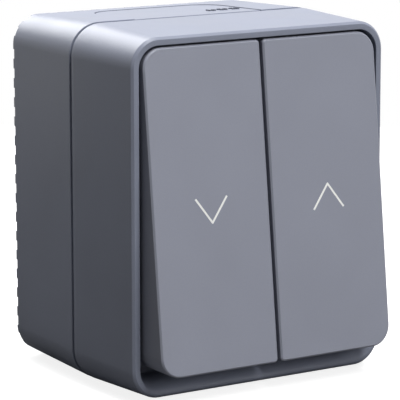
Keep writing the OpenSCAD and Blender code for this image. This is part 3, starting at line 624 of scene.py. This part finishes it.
class SWITCH_OT_back_box(bpy.types.Operator):
    """Build the back box with its toothed rim, screw pillars and wall bosses"""
    bl_idname = "switch.back_box"
    bl_label = "Back box"

    def execute(self, context):
        s, f, small = (getattr(context.scene, name) for name in ("switch_housing", "switch_fixing", "switch_small"))
        inset = s.draft + s.wall
        inner = even_outline(s.width / 2 - inset, s.height / 2 - inset, s.corner - inset)
        edge = s.seam - s.seam_gap / 2
        floor_top = s.floor_lift + s.floor
        rings = [flat(inner, s.floor_lift), flat(inner, 0), flat(housing_outline(s, s.draft + s.soft), 0)]
        rings += [flat(housing_outline(s, s.draft), s.soft), flat(housing_outline(s, 0), edge - s.soft)]
        rings += [flat(housing_outline(s, s.soft), edge), flat(housing_outline(s, s.seam_groove), edge)]
        rings += [flat(housing_outline(s, s.seam_groove), s.seam), flat(inner, s.seam), flat(inner, floor_top)]
        box = loft("back_box_shell", rings)
        holes, screws = four_corners(f.hole_x, f.hole_up), four_corners(cover_screw_x(f), cover_screw_up(f))
        posts = [(side * (high("frame_screws").x - f.head), 0) for side in (-1, 1)]
        post_end = -high("support_frame").y
        solids = [depth_rod(x, up, 0, floor_top + s.floor_lift, f.boss) for x, up in holes]
        solids += [depth_rod(x, up, s.floor_lift, s.seam, f.pillar) for x, up in screws]
        solids += [depth_rod(x, up, s.floor_lift, post_end, f.pillar) for x, up in posts]
        rear, half_rib, reach = 0.4 * MM, s.rib / 2, s.width / 2 - inset + OVER / 2
        for side in (-1, 1):
            x, up = side * f.hole_x, side * f.hole_up
            solids.append(block((x - half_rib, -f.hole_up, rear), (x + half_rib, f.hole_up, floor_top)))
            solids.append(block((-f.hole_x, up - half_rib, rear), (f.hole_x, up + half_rib, floor_top)))
        solids.append(block((-reach, -half_rib, rear), (reach, half_rib, floor_top)))
        join_to(box, solids)
        cuts = [depth_rod(x, up, -OVER, 2 * floor_top, f.hole) for x, up in holes]
        cuts += [depth_rod(x, up, s.seam - f.pilot_depth, s.seam + OVER, f.pilot) for x, up in screws]
        cuts += [depth_rod(x, up, post_end - f.pilot_depth, post_end + OVER, f.pilot) for x, up in posts]
        cuts += [insert_opening(s, small, way) for way in (-1, 1)]
        cut_from(box, cuts + [seal_groove(s), rim_notches(s)])
        dress(box, finishes["housing"])
        finished(box, "back_box_shell", "housing", "housing", "back_box")
        return {"FINISHED"}


def cover_screw_x(f):
    return high("cover_screws").x - f.head


def cover_screw_up(f):
    return high("cover_screws").z - f.head


# Angles along the sill, closest together where the bezel's inner edge is softened
SILL_TURNS = (0, 2.5, 5, 7.5, 10.5, 18, 27, 36, 45, 54, 63, 72, 81, 90)


def sill_rings(s):
    """Rings from the bezel into the recess: upright at the sides and the top, rolled back at the bottom"""
    half_x, half_y, corner = recess_half(s)
    start = -(s.height / 2 - s.draft - s.rim_bevel - s.sill_land)
    rise = -half_y + s.sill_height - start
    rings = []
    for degrees in SILL_TURNS:
        a = math.radians(degrees)
        sink = s.sill_depth * (1 - math.cos(a))
        out = s.soft - math.sqrt(s.soft ** 2 - (s.soft - sink) ** 2) if sink < s.soft else 0.0
        bottom = start + rise * math.sin(a)
        radius = corner + out
        stretch = (corner - half_y - bottom) / radius
        shape = outline(-half_x - out, half_x + out, bottom, half_y + out, (radius,) * 4, stretch)
        rings.append(flat(shape, s.front - sink))
    rings.append(flat(shape, s.front - s.recess))
    return rings


class SWITCH_OT_front_cover(bpy.types.Operator):
    """Build the front cover with its bezel, rolled sill, recess and hinge lugs"""
    bl_idname = "switch.front_cover"
    bl_label = "Front cover"

    def execute(self, context):
        s, f, r = (getattr(context.scene, name) for name in ("switch_housing", "switch_fixing", "switch_rocker"))
        recess = s.front - s.recess
        ceiling = recess - s.recess_floor
        inner = even_outline(*recess_half(s))
        edge = s.seam + s.seam_gap / 2
        groove = housing_outline(s, s.seam_groove)
        rings = [flat(inner, ceiling), flat(inner, s.seam), flat(groove, s.seam), flat(groove, edge)]
        rings += [flat(housing_outline(s, s.cover_step + s.soft), edge),
                  flat(housing_outline(s, s.cover_step), edge + s.soft)]
        rings.append(flat(housing_outline(s, 0), edge + s.cover_lead))
        rings += [flat(housing_outline(s, s.draft + inset), s.front - sink)
                  for inset, sink in chamfer(s.rim_bevel, s.soft)]
        cover = loft("front_cover_shell", rings + sill_rings(s))
        screws = four_corners(cover_screw_x(f), cover_screw_up(f))
        pin, plunger = middle("hinge_pin"), middle("up_plunger")
        root = recess - OVER / 2
        solids = [depth_rod(x, up, s.seam, root, f.cover_pillar) for x, up in screws]
        for side in (-1, 1):
            solids.append(depth_rod(side * plunger.x, plunger.z, ceiling - f.guide_reach, root, f.guide))
            for start in lug_starts(f, r):
                a, b = sorted((side * start, side * (start + f.lug_width)))
                solids.append(rod(place(a, pin.z, -pin.y), place(b, pin.z, -pin.y), f.lug))
                solids.append(block((a, pin.z - f.lug, root), (b, pin.z + f.lug, -pin.y)))
        join_to(cover, solids)
        cuts = [depth_rod(x, up, s.seam - OVER, recess + OVER, f.clearance) for x, up in screws]
        cuts += [depth_rod(x, up, recess - f.head_sink, recess + OVER, f.head_seat) for x, up in screws]
        for side in (-1, 1):
            cuts.append(depth_rod(side * plunger.x, plunger.z, s.seam, recess + OVER, f.guide_bore))
            cuts.append(depth_rod(side * plunger.x, plunger.z, s.seam, ceiling, f.guide_ring))
        cuts.append(rod(place(-r.outer, pin.z, -pin.y), place(r.outer, pin.z, -pin.y), f.lug_bore))
        cut_from(cover, cuts)
        dress(cover, finishes["housing"])
        finished(cover, "front_cover_shell", "housing", "housing", "front_cover")
        return {"FINISHED"}


# Rockers

def lug_starts(f, r):
    """Where the inner and the outer fixed lug begin, from the middle"""
    return r.inner + r.skirt_wall + f.lug_gap, r.outer - r.corner - f.lug_gap - f.lug_width


def rocker_outline(r, inset):
    big, small = r.corner - inset, r.inner_corner - inset
    return outline(r.inner + inset, r.outer - inset, r.bottom + inset, r.top - inset, (big, small, small, big))


def face_depth(r, up):
    return r.face_depth + (r.top - up) * r.stand / (r.top - r.bottom)


def tilted(r, points, sink):
    return [place(x, y, face_depth(r, y) - sink) for x, y in points]


def arrow_cutter(r, side):
    """Two thin bars along the arrow's strokes, standing on the face"""
    tilt = math.atan(r.stand / (r.top - r.bottom))
    along, out = Vector((0, math.sin(tilt), math.cos(tilt))), Vector((0, -math.cos(tilt), math.sin(tilt)))
    origin = place(side * (r.inner + r.outer) / 2, r.arrow_up, face_depth(r, r.arrow_up))
    tip = origin + side * r.arrow_height / 2 * along
    pocket, above = -r.arrow_depth * out, OVER * out
    bars = []
    for arm in (-1, 1):
        end = tip - side * r.arrow_height * along + Vector((arm * r.arrow_half, 0, 0))
        across = (end - tip).normalized().cross(out) * r.arrow_line / 2
        square = [tip + across, tip - across, end - across, end + across]
        bars.append(loft("bar", [[p + pocket for p in square], [p + above for p in square]]))
    bars.append(rod(tip + pocket, tip + above, r.arrow_line / 2, 32))
    return bars


def rocker_form(s, f, r, side):
    """One rocker, drawn on the right and mirrored for the left"""
    wall, pin, plunger = r.skirt_wall, middle("hinge_pin"), middle("up_plunger")
    tight = 0.3 * MM
    hollow = outline(r.inner + wall, r.outer - wall, r.bottom + wall, r.top - wall,
                     (r.corner - wall, tight, tight, r.corner - wall))
    tilt = math.atan(r.stand / (r.top - r.bottom))
    rings = [tilted(r, hollow, r.face_wall / math.cos(tilt)), flat(hollow, r.skirt)]
    rings.append(flat(rocker_outline(r, 0), r.skirt))
    rings += [tilted(r, rocker_outline(r, inset), sink) for inset, sink in chamfer(r.bevel, r.soft)]
    rocker = loft("rocker", rings)
    root = r.face_wall / 2
    post_end = s.front - s.recess + r.post_lift
    solids = [depth_rod(plunger.x, plunger.z, post_end, face_depth(r, plunger.z) - root, r.post)]
    inner_lug, outer_lug = lug_starts(f, r)
    for start in (inner_lug + f.lug_width + f.lug_gap, outer_lug - f.lug_gap - r.ear_width):
        end = start + r.ear_width
        solids.append(rod(place(start, pin.z, -pin.y), place(end, pin.z, -pin.y), r.ear))
        solids.append(block((start, pin.z - r.ear, -pin.y), (end, pin.z + r.ear, face_depth(r, pin.z) - root)))
    join_to(rocker, solids)
    cut_from(rocker, [rod(place(-OVER, pin.z, -pin.y), place(r.outer + OVER, pin.z, -pin.y), r.ear_bore)])
    if side < 0:
        rocker.data.transform(Matrix.Scale(-1, 4, (1, 0, 0)))
        rocker.data.flip_normals()
    return cut_from(rocker, arrow_cutter(r, side))


class SWITCH_OT_rockers(bpy.types.Operator):
    """Build the down rocker and the up rocker with their arrow pockets"""
    bl_idname = "switch.rockers"
    bl_label = "Rockers"

    def execute(self, context):
        s, f, r = (getattr(context.scene, name) for name in ("switch_housing", "switch_fixing", "switch_rocker"))
        for side, word in ((-1, "down"), (1, "up")):
            rocker = dress(rocker_form(s, f, r, side), finishes["rocker"])
            finished(rocker, word + "_rocker_cap", word + "_rocker", "rocker", word + "_rocker")
        return {"FINISHED"}


# Small pieces

def insert_form(s, small, way):
    """One entry insert: its flange behind the wall and its plate in the opening, open at the seam"""
    edge, floor_top = s.seam - s.seam_gap / 2, s.floor_lift + s.floor
    inner = s.height / 2 - s.draft - s.wall
    flange_up, gap = inner - 0.1 * MM, 0.1 * MM
    half = small.insert_width / 2 + small.flange_lip
    rings = []
    for inset, sink in ((0, None), (0, small.insert_edge), (small.insert_edge, 0)):
        points = insert_outline(s, small, small.insert_gap + inset, edge - inset)
        rings.append([place(x, flange_up - OVER if sink is None else wall_up(s, depth, small.insert_sink + sink),
                            depth) for x, depth in points])
    plate = loft("insert", rings)
    tongue = small.insert_width / 2 - small.insert_gap
    shelf = s.height / 2 - s.seam_groove - small.insert_sink
    solids = [block((-half, flange_up - small.flange, floor_top + gap), (half, flange_up, s.seam)),
              block((-tongue, flange_up - OVER, edge - OVER), (tongue, shelf, s.seam))]
    join_to(plate, solids)
    if way < 0:
        plate.data.transform(Matrix.Scale(-1, 4, (0, 0, 1)))
        plate.data.flip_normals()
    return cut_from(plate, [seal_groove(s)])


class SWITCH_OT_entry_pieces(bpy.types.Operator):
    """Build the two entry inserts, the rubber membrane and the size numbers"""
    bl_idname = "switch.entry_pieces"
    bl_label = "Cable entries"

    def execute(self, context):
        s, small = context.scene.switch_housing, context.scene.switch_small
        entry, face = middle("cable_membrane"), low("cable_membrane").z

        def through(way, near, far, radius):
            return rod(Vector((entry.x, entry.y, way * near)), Vector((entry.x, entry.y, way * far)), radius)

        top, bottom = insert_form(s, small, 1), insert_form(s, small, -1)
        flange = s.height / 2 - s.draft - s.wall - 0.1 * MM
        knockout = cut_from(through(1, 0, flange - small.flange / 2, small.entry),
                            [through(1, -OVER, s.height, small.entry - OVER)])
        cut_from(top, [knockout])
        cut_from(bottom, [through(-1, 0, s.height, small.entry),
                          through(-1, -face - 1.1 * MM, s.height, small.entry + small.rim)])
        for insert, name in ((top, "top_insert"), (bottom, "bottom_insert")):
            dress(insert, finishes["housing"])
            finished(insert, name + "_plate", "housing", "housing", name)
        membrane = dress(membrane_form(small, Vector((entry.x, entry.y, face))), finishes["rubber"], 25)
        finished(membrane, "cable_membrane_rubber", "housing", "rubber", "cable_membrane")
        marks = dress(number_marks(s, small), finishes["mark"])
        finished(marks, "entry_sizes", "housing", "housing")
        return {"FINISHED"}


def membrane_form(small, centre):
    """The ringed membrane with its two rims and its sleeve, turned about Z from its outer face up"""
    outer, neck, hole, lip = small.entry + small.rim - 0.1 * MM, small.entry - 0.1 * MM, small.cable, 1 * MM
    sleeve, end = hole + small.rim, high("cable_membrane").z - centre.z
    dish = end - small.sleeve - lip
    profile = [(hole, end - 0.3 * MM), (hole + 0.3 * MM, end), (sleeve - 0.3 * MM, end), (sleeve, end - 0.3 * MM),
               (sleeve, dish + lip), (neck, dish + lip), (neck, dish + 0.4 * MM), (outer, dish + 0.4 * MM),
               (outer, dish + 0.4 * MM - lip), (neck, dish + 0.4 * MM - lip), (neck, lip), (outer - 0.2 * MM, lip),
               (outer, lip - 0.2 * MM), (outer, 0.3 * MM), (outer - 0.3 * MM, 0), (neck - 1.2 * MM, 0),
               (neck - small.rim, 0.2 * MM), (neck - small.rim, dish)]
    for k in range(3):
        ridge = neck - 2.1 * MM - 0.9 * MM * k
        profile += [(ridge + 0.25 * MM, dish), (ridge, dish - 0.3 * MM), (ridge - 0.25 * MM, dish)]
    return turned("membrane", profile + [(hole, dish)], centre, Vector((0, 0, 1)))


def number_marks(s, small):
    """The three cable sizes, raised on the upper insert"""
    letters = bpy.data.curves.new("entry_sizes", "FONT")
    letters.body = "16 20 25"
    letters.size = small.mark / 0.7
    letters.align_x = "CENTER"
    letters.extrude = small.mark_rise * 0.6
    written = bpy.data.objects.new("entry_sizes", letters)
    bpy.context.scene.collection.objects.link(written)
    mesh = bpy.data.meshes.new_from_object(written.evaluated_get(bpy.context.evaluated_depsgraph_get()))
    bpy.data.objects.remove(written)
    lean = math.atan(s.draft / (s.seam - s.seam_gap / 2))
    surface = wall_up(s, small.mark_depth, small.insert_sink)
    foot = place(small.mark_x, surface + small.mark_rise * 0.4, small.mark_depth)
    mesh.transform(Matrix.Translation(foot) @ Matrix.Rotation(-lean, 4, "X"))
    marks = bpy.data.objects.new("entry_sizes", mesh)
    bpy.context.scene.collection.objects.link(marks)
    return marks


def spring_tree():
    """A wire swept along a helix"""
    tree, source = tree_with("return spring", {"Turns": "Float", "Radius": "Float", "Length": "Float", "Wire": "Float"})
    path = add(tree, "GeometryNodeCurveSpiral", {"Resolution": 48, "Rotations": (source, "Turns"),
                                                 "Start Radius": (source, "Radius"),
                                                 "End Radius": (source, "Radius"), "Height": (source, "Length")})
    ring = add(tree, "GeometryNodeCurvePrimitiveCircle", {"Resolution": 12, "Radius": (source, "Wire")})
    wire = add(tree, "GeometryNodeCurveToMesh", {"Curve": (path, 0), "Profile Curve": (ring, 0), "Fill Caps": True})
    close_tree(tree, source, (wire, 0))
    return tree


class SWITCH_OT_springs(bpy.types.Operator):
    """Build the two return springs"""
    bl_idname = "switch.springs"
    bl_label = "Return springs"

    def execute(self, context):
        small = context.scene.switch_small
        tree = spring_tree()
        for word in ("down", "up"):
            near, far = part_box(word + "_spring")
            span = far.y - near.y
            coil = points_object("coil", [(0, 0, 0)])
            grown(coil, tree, finishes["steel"], {"Turns": float(small.turns), "Wire": small.wire / 2,
                                                  "Radius": (far.x - near.x - small.wire) / 2,
                                                  "Length": span - small.wire})
            foot = Vector(((near.x + far.x) / 2, far.y - small.wire / 2, (near.z + far.z) / 2))
            coil.data.transform(Matrix.Translation(foot) @ Matrix.Rotation(math.pi / 2, 4, "X"))
            dress(coil, finishes["steel"], 60)
            finished(coil, word + "_spring_wire", "housing", "steel", word + "_spring")
            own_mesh(coil)
        return {"FINISHED"}


def screw_form(shank, head, height, reach):
    """A pan-head screw along -Y from its seat at the origin, with a cross recess"""
    out = Vector((0, -1, 0))
    curve, edge = 0.3 * head, 0.15 * MM
    profile = [(0, height)]
    for i in range(5):
        a = math.pi / 2 * i / 4
        profile.append((head - curve * (1 - math.sin(a)), height - curve * (1 - math.cos(a))))
    profile += [(head, edge), (head - edge, 0), (shank, 0), (shank, shank - reach), (0, -reach)]
    screw = turned("screw", profile, Vector((0, 0, 0)), out, 40)
    arms = []
    for degrees in (45, 135):
        a = math.radians(degrees)
        side, other = Vector((math.cos(a), 0, math.sin(a))), Vector((-math.sin(a), 0, math.cos(a)))
        square = [head * (0.62 * x * side + 0.11 * y * other) for x, y in ((-1, -1), (1, -1), (1, 1), (-1, 1))]
        arms.append(loft("arm", [[p + share * height * out for p in square] for share in (0.4, 1.6)]))
    return cut_from(screw, arms)


class SWITCH_OT_screws(bpy.types.Operator):
    """Build the cover, frame and mechanism screws on their seats"""
    bl_idname = "switch.screws"
    bl_label = "Screws"

    def execute(self, context):
        f = context.scene.switch_fixing
        tree, source = tree_with("screws on seats", {"Screw": "Object"})
        info = add(tree, "GeometryNodeObjectInfo", {"Object": (source, "Screw")})
        spread = add(tree, "GeometryNodeInstanceOnPoints", {"Points": (source, "Geometry"),
                                                            "Instance": (info, "Geometry")})
        close_tree(tree, source, (spread, 0))
        kinds = {"cover_screws": (f.shank, f.head, f.head_height), "frame_screws": (f.shank, f.head, f.head_height),
                 "mechanism_screws": (f.small_shank, f.small_head, f.small_height)}
        for name, (shank, head, height) in kinds.items():
            near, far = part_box(name)
            seat = near.y + height
            places = {(round(x, 6), round(up, 6)) for x, up in four_corners(far.x - head, far.z - head)}
            screw = screw_form(shank, head, height, far.y - seat)
            dots = points_object(name, [(x, seat, up) for x, up in sorted(places)])
            grown(dots, tree, finishes["steel"], {"Screw": screw})
            remove(screw)
            dress(dots, finishes["steel"])
            finished(dots, name + "_cross", "housing", "steel", name)
        return {"FINISHED"}


class SWITCH_OT_inner_parts(bpy.types.Operator):
    """Give the frame's own solids the finishes of their real materials"""
    bl_idname = "switch.inner_parts"
    bl_label = "Inner parts"

    def execute(self, context):
        wanted = {
            "arrow": ("down_arrow", "up_arrow"),
            "rubber": ("cover_seal", "plunger_seals"),
            "steel": ("hinge_pin", "support_frame", "terminal_screws"),
            "insulator": ("mechanism_base", "guide_plate", "mechanism_cover", "down_plunger", "up_plunger"),
            "brass": ("line_terminal", "down_terminal", "up_terminal", "down_bridge", "up_bridge"),
            "silver": ("fixed_contacts", "down_tips", "up_tips"),
        }
        for finish, names in wanted.items():
            for name in names:
                nodes[name].data.materials.clear()
                nodes[name].data.materials.append(finishes[finish])
        return {"FINISHED"}


# Stage

# Name, angle above the floor, angle round from the front to the right, size, and watts of each soft box
LAMPS = (
    ("overhead_box", 81, 50, 0.6, 21.5),
    ("key_box", 54, 8, 0.6, 15.0),
    ("front_box", 15, 14, 0.6, 4.8),
    ("left_box", 8, -65, 0.6, 0.5),
    ("rear_box", 38, -178, 1.0, 21.5),
)
LAMP_DISTANCE = 1.6
AMBIENT = 0.02


def soft_box(name, above, around, size, watts):
    """A square soft box that faces the middle of the switch"""
    aim = Vector((0, -0.03, 0))
    above, around = math.radians(above), math.radians(around)
    away = Vector((math.cos(above) * math.sin(around), -math.cos(above) * math.cos(around), math.sin(above)))
    data = bpy.data.lights.new(name, "AREA")
    data.size = size
    data.energy = watts
    lamp = bpy.data.objects.new(name, data)
    lamp.location = aim + LAMP_DISTANCE * away
    lamp.rotation_mode = "QUATERNION"
    lamp.rotation_quaternion = away.to_track_quat("Z", "Y")
    bpy.context.scene.collection.objects.link(lamp)


def backdrop_world(paper, strength):
    """White for the camera and for reflections, a dim even light for the rest"""
    world = bpy.data.worlds.new("studio")
    bpy.context.scene.world = world
    world.use_nodes = True
    tree = world.node_tree
    tree.nodes.clear()
    ray = add(tree, "ShaderNodeLightPath")
    seen = add(tree, "ShaderNodeMath", {0: (ray, "Is Camera Ray"), 1: (ray, "Is Glossy Ray")}, operation="MAXIMUM")
    seen = add(tree, "ShaderNodeMath", {0: (seen, 0), 1: (ray, "Is Transmission Ray")}, operation="MAXIMUM")
    dim = add(tree, "ShaderNodeBackground", {"Color": (0.9, 0.94, 1.0, 1.0), "Strength": strength})
    white = add(tree, "ShaderNodeBackground", {"Color": paper, "Strength": 1.0})
    mixed = add(tree, "ShaderNodeMixShader", {0: (seen, 0), 1: (dim, 0), 2: (white, 0)})
    add(tree, "ShaderNodeOutputWorld", {"Surface": (mixed, 0)})


def paper_floor(paper, level):
    """A sheet of matt paper: white to the camera but for the soft shadow, and dim to the switch"""
    material = bpy.data.materials.new("matt_studio_paper")
    material.use_nodes = True
    tree = material.node_tree
    tree.nodes.clear()
    ray = add(tree, "ShaderNodeLightPath")
    own = add(tree, "ShaderNodeBsdfDiffuse", {"Color": (0.14, 0.14, 0.14, 1.0)})
    pale = add(tree, "ShaderNodeBsdfDiffuse", {"Color": (0.4, 0.4, 0.4, 1.0)})
    glow = add(tree, "ShaderNodeEmission", {"Color": paper, "Strength": 0.85})
    shown = add(tree, "ShaderNodeAddShader", {0: (pale, 0), 1: (glow, 0)})
    mixed = add(tree, "ShaderNodeMixShader", {0: (ray, "Is Camera Ray"), 1: (own, 0), 2: (shown, 0)})
    add(tree, "ShaderNodeOutputMaterial", {"Surface": (mixed, 0)})
    bm = bmesh.new()
    bmesh.ops.create_circle(bm, cap_ends=True, segments=96, radius=0.35)
    mesh = bpy.data.meshes.new("floor")
    bm.to_mesh(mesh)
    bm.free()
    mesh.transform(Matrix.Translation((0, 0, level)))
    mesh.materials.append(material)
    floor = bpy.data.objects.new("floor", mesh)
    bpy.context.scene.collection.objects.link(floor)


def photo_camera():
    """The camera that fits the photograph's edges: its place, turn and framing, for an image 400 pixels wide"""
    yaw, drop, roll = (math.radians(a) for a in (32.515, 10.706, -0.075))
    image, focal, centre_x, centre_y = 400, 2495.136, 197.45, 194.75
    ahead = Vector((math.sin(yaw) * math.cos(drop), math.cos(yaw) * math.cos(drop), -math.sin(drop)))
    right = Vector((math.cos(yaw), -math.sin(yaw), 0))
    over = right.cross(ahead)
    side, top = right * math.cos(roll) + over * math.sin(roll), over * math.cos(roll) - right * math.sin(roll)
    data = bpy.data.cameras.new("camera")
    data.sensor_width = 36
    data.lens = focal / image * data.sensor_width
    data.shift_x = (image / 2 - centre_x) / image
    data.shift_y = (centre_y - image / 2) / image
    data.clip_start, data.clip_end = 0.05, 20
    camera = bpy.data.objects.new("camera", data)
    bpy.context.scene.collection.objects.link(camera)
    place_at = Matrix.Translation((-321.73 * MM, -533.13 * MM, 111.82 * MM))
    camera.matrix_world = place_at @ Matrix((side, top, -ahead)).transposed().to_4x4()
    bpy.context.scene.camera = camera


class SWITCH_OT_stage(bpy.types.Operator):
    """Set up the paper floor, the soft boxes, the white surround and the camera"""
    bl_idname = "switch.stage"
    bl_label = "Studio stage"

    def execute(self, context):
        paper = tuple(context.scene.switch_colours.paper)
        backdrop_world(paper, AMBIENT)
        paper_floor(paper, cad_box[0].z - 0.1 * MM)
        for settings in LAMPS:
            soft_box(*settings)
        context.scene.view_settings.view_transform = "Standard"
        photo_camera()
        return {"FINISHED"}


class SWITCH_PT_panel(bpy.types.Panel):
    """The sizes, the colours and the steps that build the switch, in order"""
    bl_idname = "SWITCH_PT_panel"
    bl_label = "Roller shutter switch"
    bl_space_type = "VIEW_3D"
    bl_region_type = "UI"
    bl_category = "Switch"

    def draw(self, context):
        for name, group in GROUPS:
            column = self.layout.column(align=True)
            for field in group.__annotations__:
                column.prop(getattr(context.scene, name), field)
        for step in STEPS:
            self.layout.operator(step.bl_idname)


STEPS = (SWITCH_OT_back_box, SWITCH_OT_front_cover, SWITCH_OT_rockers, SWITCH_OT_entry_pieces, SWITCH_OT_springs,
         SWITCH_OT_screws, SWITCH_OT_inner_parts, SWITCH_OT_stage)
GROUPS = (("switch_housing", SwitchHousingSizes), ("switch_fixing", SwitchFixingSizes),
          ("switch_rocker", SwitchRockerSizes), ("switch_small", SwitchSmallSizes), ("switch_colours", SwitchColours))


def register():
    for name, group in GROUPS:
        bpy.utils.register_class(group)
        setattr(bpy.types.Scene, name, PointerProperty(type=group))
    for cls in STEPS + (SWITCH_PT_panel,):
        bpy.utils.register_class(cls)


def unregister():
    for cls in reversed(STEPS + (SWITCH_PT_panel,)):
        bpy.utils.unregister_class(cls)
    for name, group in reversed(GROUPS):
        delattr(bpy.types.Scene, name)
        bpy.utils.unregister_class(group)


def main():
    register()
    make_finishes(bpy.context.scene.switch_colours)
    for step in STEPS:
        group, name = step.bl_idname.split(".")
        getattr(getattr(bpy.ops, group), name)()


if __name__ == "__main__":
    main()
